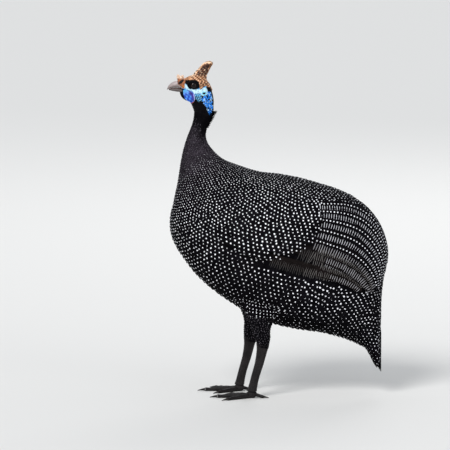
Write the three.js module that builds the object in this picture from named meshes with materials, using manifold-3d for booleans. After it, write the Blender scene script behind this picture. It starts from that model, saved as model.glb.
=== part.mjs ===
// A life-size helmeted guineafowl, standing alert with its head up and its tail hanging.
// Millimetres, +Z up. The bird faces -X, its left side is towards -Y, and the floor is z = 0.
import * as THREE from "three";
import { mergeVertices } from "three/addons/utils/BufferGeometryUtils.js";
import Module from "manifold-3d";

const wasm = await Module();
wasm.setup();

// Gap kept between pieces that touch.
const GAP = 0.3;
const TURN = Math.PI * 2;
const DEG = Math.PI / 180;

// Materials of the bird's surfaces.
const finish = (color, roughness) =>
  new THREE.MeshStandardMaterial({ color, roughness, metalness: 0 });
const PLUMAGE = finish(0x15141a, 0.85);
const BARE_SKIN = finish(0x2f8fd8, 0.55);
const HORN = finish(0xb0764a, 0.6);
const BILL = finish(0x8d8078, 0.5);
const CERE = finish(0xb98a66, 0.6);
const WATTLE = finish(0x2c63cf, 0.5);
const EYE = finish(0x120c0a, 0.08);
const LEG = finish(0x2b2422, 0.7);
const CLAW = finish(0x1d1917, 0.45);

// One rib of a lofted form: the near edge and the far edge of its outline seen from the side, each as x and z,
// and half of its width across y. The near edge is the throat, breast and belly; the far one the nape and back.
const rib = (nearX, nearZ, farX, farZ, half) => [nearX, nearZ, farX, farZ, half];

// The trunk from the bill's root over the head, down the neck and back to the root of the tail feathers.
const HEAD_RIBS = [
  rib(-121, 447, -119, 462, 6.5),
  rib(-119.5, 444, -113, 466, 9.5),
  rib(-117, 440.5, -106.5, 468.5, 12),
  rib(-114.3, 437, -99, 469.5, 14),
  rib(-111.5, 434, -91.5, 467, 15),
  rib(-109.3, 431.5, -84.5, 461, 15),
  rib(-107.6, 429, -79.5, 453, 14.5),
  rib(-106.2, 426, -76, 443, 13.5),
  rib(-104.5, 421.5, -74.2, 431, 12.7),
];
const NECK_RIBS = [
  rib(-103, 414, -75, 417.5, 12),
  rib(-104, 404, -79.5, 405, 11.7),
  rib(-108, 392, -84.5, 391, 12),
  rib(-113.5, 378, -85.5, 378, 14),
  rib(-118.5, 361, -79, 364.5, 19),
  rib(-122.5, 341, -62, 348, 28),
];
const BODY_RIBS = [
  rib(-126.5, 315, -37, 337.5, 41),
  rib(-133, 284.5, -8, 328.5, 52),
  rib(-138.5, 257, 22, 325, 60),
  rib(-134.5, 231, 51, 319.5, 66),
  rib(-118.5, 202, 80, 311.5, 69),
  rib(-94.5, 172.5, 106, 303, 70),
  rib(-64, 147, 129, 292, 69),
  rib(-29, 124.5, 148, 276, 65.5),
  rib(8, 107, 162.5, 258, 60),
  rib(47, 97.5, 173, 237, 53),
  rib(80, 93, 178, 214, 45.5),
  rib(106, 86.5, 176.5, 190, 38),
  rib(125, 80, 172.5, 165, 31.5),
  rib(138, 74, 170.5, 139, 26),
];
const TRUNK = [...HEAD_RIBS, ...NECK_RIBS, ...BODY_RIBS];
const NECK_AT = HEAD_RIBS.length;
const BODY_AT = NECK_AT + NECK_RIBS.length;
const TRUNK_END = TRUNK.length - 1;
// Stations where the trunk is parted, counted in ribs.
const HEAD_CUT = NECK_AT - 0.4;
const NECK_CUT = NECK_AT + 3.2;
const SHOULDER_CUT = BODY_AT + 0.4;
const LOIN_CUT = BODY_AT + 5.6;
// Sections are superellipses of this power: 2 is an ellipse.
const FULLNESS = 2.15;

// Catmull-Rom value of a table of ribs at a fractional station.
function between(ribs, station) {
  const last = ribs.length - 1;
  const i = Math.min(Math.max(Math.floor(station), 0), last - 1);
  const t = station - i;
  const [a, b, c, d] = [i - 1, i, i + 1, i + 2].map((k) => ribs[Math.min(Math.max(k, 0), last)]);
  return b.map((p1, k) => {
    const [p0, p2, p3] = [a[k], c[k], d[k]];
    const first = i === 0 ? 2 * p1 - p2 : p0;
    const fourth = i === last - 1 ? 2 * p2 - p1 : p3;
    return 0.5 * (2 * p1 + (p2 - first) * t + (2 * first - 5 * p1 + 4 * p2 - fourth) * t * t
      + (3 * p1 - first - 3 * p2 + fourth) * t ** 3);
  });
}

const signedPower = (value, power) => Math.sign(value) * Math.abs(value) ** power;

// A point of a ribbed form: angle 0 is its far edge (the back), PI its near edge (the belly), and PI / 2 its -Y side.
function onRibs(ribs, station, angle, lift = 0, fullness = FULLNESS) {
  const [nearX, nearZ, farX, farZ, half] = between(ribs, station);
  const reach = Math.hypot(farX - nearX, farZ - nearZ) / 2;
  const along = (signedPower(Math.cos(angle), 2 / fullness) * (reach + lift)) / reach;
  const x = (nearX + farX) / 2 + (along * (farX - nearX)) / 2;
  const z = (nearZ + farZ) / 2 + (along * (farZ - nearZ)) / 2;
  return new THREE.Vector3(x, -signedPower(Math.sin(angle), 2 / fullness) * (half + lift), z);
}

// Closed solids from rings of points, with flat ends.
function solidOf(points, triangles) {
  const made = new wasm.Mesh({
    numProp: 3,
    vertProperties: new Float32Array(points.flatMap((p) => [p.x, p.y, p.z])),
    triVerts: new Uint32Array(triangles),
  });
  const solid = new wasm.Manifold(made);
  if (solid.volume() > 0) return solid;
  const turned = [];
  for (let i = 0; i < triangles.length; i += 3) turned.push(triangles[i], triangles[i + 2], triangles[i + 1]);
  return solidOf(points, turned);
}

function loft(rings) {
  const count = rings[0].length;
  const points = rings.flat();
  const triangles = [];
  for (let r = 0; r < rings.length - 1; r++) {
    for (let k = 0; k < count; k++) {
      const [a, b] = [r * count + k, r * count + ((k + 1) % count)];
      triangles.push(a, b, b + count, a, b + count, a + count);
    }
  }
  const centre = (ring) => ring.reduce((sum, p) => sum.add(p), new THREE.Vector3()).divideScalar(count);
  const [first, last] = [points.length, points.length + 1];
  points.push(centre(rings[0]), centre(rings[rings.length - 1]));
  const end = (rings.length - 1) * count;
  for (let k = 0; k < count; k++) {
    const next = (k + 1) % count;
    triangles.push(first, next, k, last, end + k, end + next);
  }
  return solidOf(points, triangles);
}

function ribLoft(ribs, from, to, rings, sides, lift = 0, fullness = FULLNESS) {
  return loft(
    Array.from({ length: rings + 1 }, (_, r) =>
      Array.from({ length: sides }, (_, k) =>
        onRibs(ribs, from + ((to - from) * r) / rings, (TURN * k) / sides, lift, fullness))));
}

// Stations just before and after a cut, so that the two flat faces keep the gap.
function parted(ribs, station) {
  const [a, b] = [between(ribs, station - 0.05), between(ribs, station + 0.05)];
  const step = Math.min(Math.hypot(b[0] - a[0], b[1] - a[1]), Math.hypot(b[2] - a[2], b[3] - a[3])) / 0.1;
  return [station - GAP / 2 / step, station + GAP / 2 / step];
}

// three.js geometry as a solid, and back as a named mesh.
function fromGeometry(geometry) {
  const bare = geometry.index ? geometry.toNonIndexed() : geometry.clone();
  const merged = mergeVertices(new THREE.BufferGeometry().setAttribute("position", bare.getAttribute("position")), 1e-4);
  return new wasm.Manifold(new wasm.Mesh({
    numProp: 3,
    vertProperties: merged.attributes.position.array,
    triVerts: new Uint32Array(merged.index.array),
  }));
}

const join = (solids) => solids.reduce((all, one) => all.add(one));

// The largest closed surface of a solid: a sealed hollow or a loose scrap is dropped.
function largest(solid) {
  const bodies = solid.decompose().filter((body) => body.volume() > 0);
  return bodies.reduce((best, body) => (body.volume() > best.volume() ? body : best));
}

const bird = new THREE.Group();

function place(name, solid, material) {
  const kept = largest(solid).getMesh();
  const geometry = new THREE.BufferGeometry();
  geometry.setAttribute("position", new THREE.BufferAttribute(new Float32Array(kept.vertProperties), 3));
  geometry.setIndex(new THREE.BufferAttribute(new Uint32Array(kept.triVerts), 1));
  const mesh = new THREE.Mesh(geometry, material);
  mesh.name = name;
  bird.add(mesh);
  return mesh;
}

const SIDES = [["left", 1], ["right", -1]];
const mirrored = (solid, side) => (side > 0 ? solid : solid.mirror([0, 1, 0]));

function ball(x, y, z, radius, across = 12) {
  const sphere = new THREE.SphereGeometry(radius, across, Math.round(across * 0.6));
  return fromGeometry(sphere.translate(x, y, z));
}

function stretchedBall(x, y, z, [rx, ry, rz], across = 8) {
  const sphere = new THREE.SphereGeometry(1, across, Math.round(across * 0.6));
  return fromGeometry(sphere.scale(rx, ry, rz).translate(x, y, z));
}

// Head: the eyes sit in their sockets inside raised lids, with an ear opening behind each.
const EYE_X = -103.4;
const EYE_Z = 456;
const EYE_Y = 9.6;
const EYE_RADIUS = 6.2;
const LID_RADIUS = 5.7;
const LID_THICK = 1.15;
const LID_Y = 13.2;
const EAR = { x: -88.2, z: 444.5, y: 14.2, long: 2.9, high: 2.1, deep: 3 };
const EAR_RIM = 1.1;

const headForm = (lift = 0) => ribLoft(TRUNK, 0, parted(TRUNK, HEAD_CUT)[0], 12, 20, lift);

function lid() {
  const ring = new THREE.TorusGeometry(LID_RADIUS, LID_THICK, 5, 14);
  ring.rotateX(Math.PI / 2);
  ring.scale(1.08, 1, 0.94);
  return fromGeometry(ring.translate(EYE_X, -LID_Y, EYE_Z));
}

function earRim() {
  const ring = new THREE.TorusGeometry(1, EAR_RIM / EAR.long, 4, 10);
  ring.rotateX(Math.PI / 2);
  ring.scale(EAR.long, EAR.long * 0.8, EAR.high);
  return fromGeometry(ring.translate(EAR.x, -EAR.y, EAR.z));
}

function head() {
  let solid = headForm();
  for (const [, side] of SIDES) {
    solid = solid.add(mirrored(lid(), side));
    solid = solid.subtract(mirrored(ball(EYE_X, -EYE_Y, EYE_Z, EYE_RADIUS + GAP, 12), side));
    solid = solid.add(mirrored(earRim(), side));
    const cup = stretchedBall(EAR.x, -EAR.y - 1, EAR.z, [EAR.long * 0.75, EAR.deep, EAR.high * 0.7]);
    solid = solid.subtract(mirrored(cup, side));
  }
  return solid;
}

// Casque: a cap over the crown with a lobe behind each eye, and the horn that leans back from it.
const HORN_RIBS = [
  rib(-108, 461, -84, 456, 7),
  rib(-104.5, 470.3, -84.6, 465.5, 6.4),
  rib(-100.8, 475.2, -84, 470, 5.4),
  rib(-96.3, 479.8, -81.6, 475, 4.7),
  rib(-91.3, 485.8, -78.3, 481.3, 4.1),
  rib(-86, 489.3, -76, 485.2, 3.4),
  rib(-81.2, 490.6, -75.2, 487.6, 2.4),
  rib(-78.6, 490.2, -76.4, 489, 1),
];
const CAP_THICK = 1.2;
const CAP_OUTLINE = [
  [-119, 464.5], [-113, 463.2], [-107, 463.6], [-101, 464], [-96, 462], [-94, 457.5], [-94, 451],
  [-92.4, 448.2], [-90.6, 449.6], [-89.2, 453.6], [-85.5, 455], [-82, 452.8], [-74, 452], [-70, 480], [-119, 480],
];

function casque() {
  const outline = new THREE.Shape(CAP_OUTLINE.map(([x, z]) => new THREE.Vector2(x, z)));
  const slab = new THREE.ExtrudeGeometry(outline, { depth: 50, bevelEnabled: false });
  const cutter = fromGeometry(slab.rotateX(Math.PI / 2).translate(0, 25, 0));
  const cap = headForm(CAP_THICK).intersect(cutter);
  const horn = ribLoft(HORN_RIBS, 0, HORN_RIBS.length - 1, 11, 10);
  return cap.add(horn).subtract(headForm(GAP));
}

// Bill: two mandibles that meet along the line of the mouth, and the cere with its nostrils and caruncles.
const UPPER_RIBS = [
  rib(-120.8, 450.2, -120.5, 462, 6.3),
  rib(-126.5, 451.8, -126.5, 461.6, 5.5),
  rib(-131.5, 452, -131.5, 460.8, 4.6),
  rib(-136.5, 451.2, -136.4, 458.2, 3.4),
  rib(-140, 449.8, -139.8, 454.6, 2.1),
  rib(-142, 448.4, -141.6, 451.2, 0.9),
];
const LOWER_RIBS = [
  rib(-121.5, 445.4, -121, 449.8, 5.6),
  rib(-127, 445.8, -126.6, 451.4, 4.8),
  rib(-132, 446.6, -131.8, 451.6, 3.9),
  rib(-137, 447.6, -136.8, 450.8, 2.6),
  rib(-139.6, 448.3, -139.4, 449.6, 1.3),
];
const BILL_ROOT = 0.12;

const upperForm = (lift = 0) => ribLoft(UPPER_RIBS, 0, UPPER_RIBS.length - 1, 8, 10, lift, 2);

function lowerBill() {
  return ribLoft(LOWER_RIBS, 0, LOWER_RIBS.length - 1, 6, 10, 0, 2).subtract(upperForm(GAP)).subtract(headForm(GAP));
}

const upperBill = () => upperForm().subtract(headForm(GAP));

const CERE_RIBS = [
  rib(-127, 455.5, -126.6, 462.6, 5.9),
  rib(-124, 453.5, -123.2, 464, 7),
  rib(-120.5, 452.5, -119.5, 464.8, 7.9),
  rib(-117.5, 452.5, -116, 465.2, 8.6),
];
const NOSTRIL = { x: -121.4, z: 459.6, lean: 42 * DEG, long: 2.4, high: 0.95 };
const CARUNCLES = [
  [-125.2, 1.6, 466.2, 2.6, 4.6],
  [-126, -1.4, 468, 2.2, 4.6],
  [-121.6, -2, 467.2, 2.4, 3.6],
  [-120, 1.8, 467.4, 2.3, 4],
];

function cere() {
  let solid = ribLoft(CERE_RIBS, 0, CERE_RIBS.length - 1, 4, 14);
  for (const [x, y, z, radius, height] of CARUNCLES) {
    solid = solid.add(stretchedBall(x, y, z, [radius, radius, height]));
  }
  for (const [, side] of SIDES) {
    const slit = new THREE.SphereGeometry(1, 10, 6).scale(NOSTRIL.long, 2.2, NOSTRIL.high);
    slit.rotateY(-NOSTRIL.lean).translate(NOSTRIL.x, -8.4, NOSTRIL.z);
    solid = solid.subtract(mirrored(fromGeometry(slit), side));
  }
  return solid.subtract(upperForm(GAP)).subtract(headForm(GAP)).subtract(casqueForm);
}

// Wattles: a leaf-shaped flap that hangs from each corner of the mouth and curls at its edge.
const WATTLE_RIBS = [
  rib(-119.8, 449.5, -113.5, 450.5, 1.5),
  rib(-120.3, 445.8, -108.2, 448.6, 1.9),
  rib(-119.4, 440.6, -103.8, 445.2, 1.9),
  rib(-117, 435.6, -101.8, 440.6, 1.7),
  rib(-112.8, 431.2, -101.6, 435, 1.4),
  rib(-108, 428.4, -103.2, 430, 0.9),
];
const WATTLE_RINGS = 9;
const WATTLE_SIDES = 10;
const WATTLE_OUT = [10.6, 13.2, 15, 15.4, 14.6, 13.4];

function wattle() {
  const rings = [];
  const last = WATTLE_RIBS.length - 1;
  for (let r = 0; r <= WATTLE_RINGS; r++) {
    const station = (last * r) / WATTLE_RINGS;
    const out = between(WATTLE_OUT.map((y) => [y]), station)[0];
    rings.push(Array.from({ length: WATTLE_SIDES }, (_, k) => {
      const angle = (TURN * k) / WATTLE_SIDES;
      const point = onRibs(WATTLE_RIBS, station, angle, 0, 2.4);
      const fold = 0.9 * Math.cos(angle * 2) + 0.5 * Math.cos(angle);
      return point.setY(point.y - out - fold);
    }));
  }
  return loft(rings).subtract(headForm(GAP)).subtract(cereForm);
}

// Nape tuft: short hair-like feathers in rows down the back of the upper neck, each a tapered lock that bends upward.
const TUFT = { from: NECK_AT + 0.2, to: NECK_AT + 1.7, rows: 5, spread: [-24, 0, 24], long: 8.6, thick: 1.25, bend: 4.2 };
const LOCK_SIDES = 4;

function napeLock(station, angle, length) {
  const foot = onRibs(TRUNK, station, angle);
  const out = onRibs(TRUNK, station, angle, 1).sub(foot).normalize();
  const side = new THREE.Vector3(0, 1, 0);
  const across = new THREE.Vector3().crossVectors(out, side).normalize();
  const rings = [-2.4, length * 0.25, length * 0.65, length].map((reach, r) => {
    const centre = foot.clone().addScaledVector(out, reach);
    centre.z += TUFT.bend * Math.max(0, reach / length) ** 2;
    const radius = TUFT.thick * [1, 1, 0.7, 0.28][r];
    return Array.from({ length: LOCK_SIDES }, (_, k) => {
      const turn = (TURN * k) / LOCK_SIDES;
      return centre.clone().addScaledVector(side, Math.cos(turn) * radius)
        .addScaledVector(across, Math.sin(turn) * radius);
    });
  });
  return loft(rings);
}

function napeTuft() {
  const locks = [];
  for (let row = 0; row < TUFT.rows; row++) {
    const share = row / (TUFT.rows - 1);
    const station = THREE.MathUtils.lerp(TUFT.from, TUFT.to, share);
    for (const [k, degrees] of TUFT.spread.entries()) {
      const length = TUFT.long * (1 - 0.45 * share) * (k === 1 ? 1 : 0.8);
      locks.push(napeLock(station + 0.12 * (k % 2), degrees * DEG, length));
    }
  }
  return join(locks);
}

// Legs: the feathered shank down to the heel, the scaled tarsus, and the foot. The right leg stands a little forward.
const LEG_Y = 28;
const RIGHT_STEP = -18;
const SHANK_RIBS = [
  rib(-40, 150, 26, 138, 20),
  rib(-29, 124, 15, 117, 17),
  rib(-21.5, 107, 8.5, 101.5, 12),
  rib(-16.5, 93, 8.2, 89, 8.2),
  rib(-13, 82.5, 6.5, 78.6, 6.2),
];
const TARSUS_RIBS = [
  rib(-12.6, 80.8, 6.2, 77, 6.3),
  rib(-12, 70.5, 3, 66.8, 5),
  rib(-14.5, 52, -2, 48.6, 4.3),
  rib(-19.5, 33.5, -8, 30, 4.4),
  rib(-23.5, 18, -11, 15.6, 5.4),
  rib(-26, 10.5, -11.5, 9.8, 6.4),
];

const shankForm = () => ribLoft(SHANK_RIBS, 0, SHANK_RIBS.length - 1, 8, 14);
const tarsusForm = () => ribLoft(TARSUS_RIBS, parted(TARSUS_RIBS, 0.001)[1], TARSUS_RIBS.length - 1, 10, 10);

// Toes: each is a row of pads that tapers to its claw, flat underneath where it stands.
const PAD = { x: -19, z: 5.4, radius: 8.2, high: 5.8 };
const TOES = [
  { name: "inner", turn: -34, length: 36, root: 4.1, tip: 2.5, pads: 2, claw: 10 },
  { name: "middle", turn: 0, length: 50, root: 4.6, tip: 2.7, pads: 3, claw: 11 },
  { name: "outer", turn: 32, length: 41, root: 4.1, tip: 2.4, pads: 4, claw: 10 },
  { name: "hind", turn: 168, length: 17, root: 3.2, tip: 2.3, pads: 1, claw: 8 },
];
const TOE_SIDES = 6;
const CLAW_STEPS = 4;
const CLAW_SIDES = 6;

// A point on a toe's midline, with its height, at a distance from the middle of the foot's pad.
function onToe(toe, distance) {
  const turn = toe.turn * DEG;
  return [PAD.x - Math.cos(turn) * distance, -Math.sin(turn) * distance];
}

function toeRadius(toe, share) {
  const swell = 1 + 0.09 * Math.cos(TURN * toe.pads * share);
  return THREE.MathUtils.lerp(toe.root, toe.tip, share) * swell;
}

function toeSolid(toe) {
  const steps = toe.pads * 2 + 1;
  const turn = toe.turn * DEG;
  const rings = [];
  for (let r = 0; r <= steps; r++) {
    const share = r / steps;
    const radius = toeRadius(toe, share);
    const [x, y] = onToe(toe, 3 + (toe.length - 3) * share);
    const rise = toe.name === "hind" ? 3.2 * (1 - share) : 0;
    rings.push(Array.from({ length: TOE_SIDES }, (_, k) => {
      const angle = (TURN * k) / TOE_SIDES;
      const across = Math.cos(angle) * radius;
      const up = radius * 0.86 + Math.sin(angle) * radius + rise;
      return new THREE.Vector3(x + Math.sin(turn) * across, y - Math.cos(turn) * across, up);
    }));
  }
  return loft(rings);
}

function clawSolid(toe) {
  const turn = toe.turn * DEG;
  const rings = [];
  for (let r = 0; r <= CLAW_STEPS; r++) {
    const share = r / CLAW_STEPS;
    const radius = THREE.MathUtils.lerp(toe.tip * 0.78, 0.45, share ** 0.8);
    const [x, y] = onToe(toe, toe.length + GAP + toe.claw * share);
    const middle = THREE.MathUtils.lerp(toe.tip * 0.95, 0.9, share ** 1.6);
    rings.push(Array.from({ length: CLAW_SIDES }, (_, k) => {
      const angle = (TURN * (k + 0.5)) / CLAW_SIDES;
      const across = Math.cos(angle) * radius * 0.8;
      return new THREE.Vector3(x + Math.sin(turn) * across, y - Math.cos(turn) * across,
        middle + Math.sin(angle) * radius);
    }));
  }
  return loft(rings);
}

// Everything below the floor is cut away, which leaves flats under the toes and the pad.
const below = (() => {
  const slab = new THREE.BoxGeometry(600, 400, 40);
  return fromGeometry(slab.translate(0, 0, -20));
})();

function foot() {
  const pad = stretchedBall(PAD.x, 0, PAD.z, [PAD.radius, PAD.radius * 0.86, PAD.high], 12);
  return join([pad, ...TOES.map(toeSolid)]).subtract(below).subtract(tarsusForm().add(sleeve()));
}

// The tarsus, a gap wider at its foot, so that the foot meets it without touching.
const sleeve = () => ribLoft(TARSUS_RIBS, 3.5, TARSUS_RIBS.length - 1 + 0.04, 5, 10, GAP);

// A closed solid between two grids of points that share their layout.
function sheetSolid(outer, inner, along, across) {
  const row = across + 1;
  const count = outer.length;
  const triangles = [];
  const quad = (a, b, c, d) => triangles.push(a, b, c, a, c, d);
  for (let i = 0; i < along; i++) {
    for (let j = 0; j < across; j++) {
      const a = i * row + j;
      quad(a, a + 1, a + row + 1, a + row);
      quad(count + a, count + a + row, count + a + row + 1, count + a + 1);
    }
  }
  for (let i = 0; i < along; i++) {
    const [a, b] = [i * row, i * row + across];
    quad(a, a + row, count + a + row, count + a);
    quad(b, count + b, count + b + row, b + row);
  }
  for (let j = 0; j < across; j++) {
    const [a, b] = [j, along * row + j];
    quad(a, count + a, count + a + 1, a + 1);
    quad(b, b + 1, count + b + 1, count + b);
  }
  return solidOf([...outer, ...inner], triangles);
}

// Feathers: each is a thin vane bent over a ribbed form, rooted narrow, broad along its middle and rounded at the tip.
const LONG_STEPS = [0, 0.13, 0.36, 0.68, 0.9, 1];
const SHORT_STEPS = [0, 0.22, 0.6, 0.88, 1];
const VANE_THICK = { root: 0.85, tip: 0.55 };
const VANE_TIP_WIDTH = 3.6;
const ROOT_WIDTH = 0.4;

// Share of the full width of a vane at a share of its length.
function vaneWidth(u) {
  if (u < 0.3) return ROOT_WIDTH + (1 - ROOT_WIDTH) * Math.sin((Math.PI / 2) * (u / 0.3));
  return u < 0.62 ? 1 : Math.sqrt(Math.max(0, 1 - ((u - 0.62) / 0.38) ** 2.4));
}

// Height by which each vane clears the next one in its tier.
const VANE_STEP = 1.45;
// Nothing comes nearer than this to the plane that divides left from right, except a vane laid on it.
const MIDLINE = 0.4;

// from and to are the stations of the root and the tip, turn its angle at both ends in degrees, half its half width,
// lifts its height over the form along its length. Pitch is the angle to the next vane at both ends, and slant says
// which edge stands higher: 1 for the edge towards the belly, -1 for the one towards the back.
function vane(ribs, { from, to, turn, half, lifts, pitch, slant, steps }) {
  const [outer, inner] = [[], []];
  for (const u of steps) {
    const station = THREE.MathUtils.lerp(from, to, u);
    const angle = THREE.MathUtils.lerp(turn[0], turn[1], u) * DEG;
    const lift = between(lifts.map((v) => [v]), u * (lifts.length - 1))[0];
    const [before, after] = [-0.02, 0.02].map((by) => onRibs(ribs, station, angle + by, lift));
    const perRadian = before.distanceTo(after) / 0.04;
    const width = Math.max(half * vaneWidth(u), VANE_TIP_WIDTH / 2);
    const thick = THREE.MathUtils.lerp(VANE_THICK.root, VANE_THICK.tip, u);
    const slope = (slant * VANE_STEP) / (perRadian * Math.abs(THREE.MathUtils.lerp(pitch[0], pitch[1], u)) * DEG);
    for (const v of [-1, 0, 1]) {
      const wanted = angle + (v * width) / perRadian;
      const clear = MIDLINE / perRadian;
      const at = Math.min(Math.max(wanted, clear), Math.PI - clear);
      const rise = lift + slope * (at - angle) * perRadian;
      inner.push(onRibs(ribs, station, at, rise));
      outer.push(onRibs(ribs, station, at, rise + thick));
    }
  }
  return sheetSolid(outer, inner, steps.length - 1, 2);
}

const blend = (a, b, t) =>
  (Array.isArray(a) ? a.map((v, k) => blend(v, b[k], t)) : THREE.MathUtils.lerp(a, b, t));

// One tier of vanes, spread evenly from its first feather to its last; each value is given for those two.
function tier(ribs, steps, count, slant, first, last) {
  const pitch = [0, 1].map((end) => (last.turn[end] - first.turn[end]) / (count - 1));
  return Array.from({ length: count }, (_, i) => {
    const own = Object.keys(first).map((key) => [key, blend(first[key], last[key], i / (count - 1))]);
    return vane(ribs, { ...Object.fromEntries(own), pitch, slant, steps });
  });
}

// Tail: it hangs closed, with the middle pair of feathers on top and the rest stepped under them to both sides,
// and coverts over and under their roots.
const TAIL_RIBS = [
  rib(125, 80, 172.5, 165, 31.5),
  rib(138, 74, 170.5, 139, 26.5),
  rib(147.5, 68.5, 170, 111, 23),
  rib(155, 56, 168.5, 77, 20),
  rib(161.5, 44, 170, 54, 16),
  rib(165.5, 38.5, 170.3, 41.5, 11),
];
const TAIL_START = 1.02;
const TAIL_CORE = { to: 2.5, inset: -3.6 };
const UPPER_COVERTS = 4;
const UNDER_COVERTS = 3;
// Tail feathers lie as one stack: each pair is a step further in than the pair over it, further out and shorter.
const RECTRIX = { pairs: 6, back: 170, top: 113, lower: 3, tip: 38, shorter: 3, half: 9.5, apart: 2.3, step: 1.2 };
const ROOF = 0.012;
const ROOT_SINK = { depth: 5.5, until: 0.3 };

// The vane of a pair on the -Y side, or the one in the middle where pair is 0.
function rectrix(pair) {
  const [outer, inner] = [[], []];
  for (const u of SHORT_STEPS) {
    const z = THREE.MathUtils.lerp(RECTRIX.top - RECTRIX.lower * pair, RECTRIX.tip + RECTRIX.shorter * pair, u);
    const centre = RECTRIX.apart * pair * (0.7 + 0.3 * u);
    const width = Math.max(RECTRIX.half * vaneWidth(u), VANE_TIP_WIDTH / 2);
    const sink = ROOT_SINK.depth * Math.max(0, 1 - u / ROOT_SINK.until) ** 2;
    for (const v of [-1, 0, 1]) {
      const out = pair ? Math.max(centre + v * width, MIDLINE) : v * width;
      const x = RECTRIX.back - RECTRIX.step * pair - ROOF * out * out - sink;
      outer.push(new THREE.Vector3(x, -out, z));
      inner.push(new THREE.Vector3(x - THREE.MathUtils.lerp(VANE_THICK.root, VANE_THICK.tip, u), -out, z));
    }
  }
  return sheetSolid(outer, inner, SHORT_STEPS.length - 1, 2);
}

function tail() {
  const core = ribLoft(TAIL_RIBS, TAIL_START, TAIL_CORE.to, 3, 14, TAIL_CORE.inset);
  const half = [
    ...Array.from({ length: RECTRIX.pairs }, (_, i) => rectrix(i + 1)),
    ...tier(TAIL_RIBS, SHORT_STEPS, UPPER_COVERTS, -1,
      { from: 1.08, to: 3, turn: [17, 20], half: 9, lifts: [-4.6, 0.4, 1.8, 2.4, 2.4] },
      { from: 1.08, to: 2.8, turn: [78, 78], half: 8, lifts: [-4.6, 0.2, 1.4, 1.8, 1.8] }),
    ...tier(TAIL_RIBS, SHORT_STEPS, UNDER_COVERTS, -1,
      { from: 1.08, to: 2.7, turn: [120, 124], half: 7, lifts: [-4.6, -0.6, 0.6, 1, 1.2] },
      { from: 1.08, to: 2.9, turn: [160, 160], half: 7.5, lifts: [-4.6, -1, 0, 0.4, 0.6] }),
  ];
  return join([core, rectrix(0), ...half, ...half.map((solid) => mirrored(solid, -1))]);
}

// Wings: folded against the flanks. The arm lies in a shallow bed in the side of the trunk, and carries the coverts,
// the tertials, the secondaries and the tips of the primaries.
const WING = { from: BODY_AT + 2.2, to: BODY_AT + 7.4, thin: 0.9, deep: 15 };
const WING_TOP = [62, 44, 38, 38];
const WING_LOW = [90, 104, 110, 106];
const BED_WIDER = { station: 0.03, angle: 0.8 };

const edgeAngle = (edge, share) => between(edge.map((v) => [v]), share * (edge.length - 1))[0];

// A shell along the arm's outline; swell gives its outer lift at a share of its length and of its depth.
function wingShell(swell, deep, wider = { station: 0, angle: 0 }) {
  const [along, across] = [8, 6];
  const outer = [];
  const inner = [];
  for (let i = 0; i <= along; i++) {
    const share = i / along;
    const station = THREE.MathUtils.lerp(WING.from - wider.station, WING.to + wider.station, share);
    const [top, low] = [edgeAngle(WING_TOP, share) - wider.angle, edgeAngle(WING_LOW, share) + wider.angle];
    for (let j = 0; j <= across; j++) {
      const angle = THREE.MathUtils.lerp(top, low, j / across) * DEG;
      outer.push(onRibs(TRUNK, station, angle, swell(share, j / across)));
      inner.push(onRibs(TRUNK, station, angle, -deep));
    }
  }
  return sheetSolid(outer, inner, along, across);
}

// Outer lift of the arm along its length, from the shoulder to where only feathers go on.
const ARM_LIFTS = [0.6, 4.4, 5.4, 5, 3.2, 1, 0];

function wingSwell(share, side) {
  const lift = between(ARM_LIFTS.map((v) => [v]), share * (ARM_LIFTS.length - 1))[0];
  const dome = Math.max(0, Math.sin(Math.PI * side)) ** 0.4;
  return THREE.MathUtils.lerp(Math.min(lift, WING.thin), lift, dome);
}

const onBody = (station) => BODY_AT + station;
const FLIGHT_LIFTS = [2.4, 4.4, 3.4, 3, 2.8];
const COVERT_LIFTS = [2.4, 6.6, 8, 8, 7.6];
const TERTIALS = 3;
const SECONDARIES = 8;
const COVERTS = 8;

function wing() {
  return join([
    wingShell(wingSwell, WING.deep),
    ...tier(TRUNK, LONG_STEPS, TERTIALS, 1,
      { from: onBody(4.1), to: onBody(10.1), turn: [50, 32], half: 10.5, lifts: FLIGHT_LIFTS },
      { from: onBody(4.2), to: onBody(10.9), turn: [62, 48], half: 10.5, lifts: FLIGHT_LIFTS }),
    ...tier(TRUNK, LONG_STEPS, SECONDARIES, 1,
      { from: onBody(4.3), to: onBody(11.3), turn: [68, 56], half: 10, lifts: FLIGHT_LIFTS },
      { from: onBody(4.7), to: onBody(9.4), turn: [104, 114], half: 9, lifts: FLIGHT_LIFTS }),
    ...tier(TRUNK, SHORT_STEPS, COVERTS, 1,
      { from: onBody(3.1), to: onBody(5.9), turn: [48, 44], half: 8, lifts: COVERT_LIFTS },
      { from: onBody(3.3), to: onBody(6), turn: [98, 108], half: 8, lifts: COVERT_LIFTS }),
  ]);
}

const wingBed = wingShell(() => 14, WING.deep + GAP, BED_WIDER);
const bothBeds = wingBed.add(mirrored(wingBed, -1));

// Assembly.
const casqueSolid = casque();
const casqueForm = casqueSolid;
const cereSolid = cere();
const cereForm = cereSolid;

place("head", head(), BARE_SKIN);
place("casque", casqueSolid, HORN);
place("cere", cereSolid, CERE);
place("bill_upper", upperBill(), BILL);
place("bill_lower", lowerBill(), BILL);

const [, neckStart] = parted(TRUNK, HEAD_CUT);
const [neckEnd, lowerStart] = parted(TRUNK, NECK_CUT);
const [lowerEnd, torsoStart] = parted(TRUNK, SHOULDER_CUT);
const [torsoEnd, rumpStart] = parted(TRUNK, LOIN_CUT);
const [rumpEnd] = parted(TRUNK, TRUNK_END - 0.02);

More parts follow.
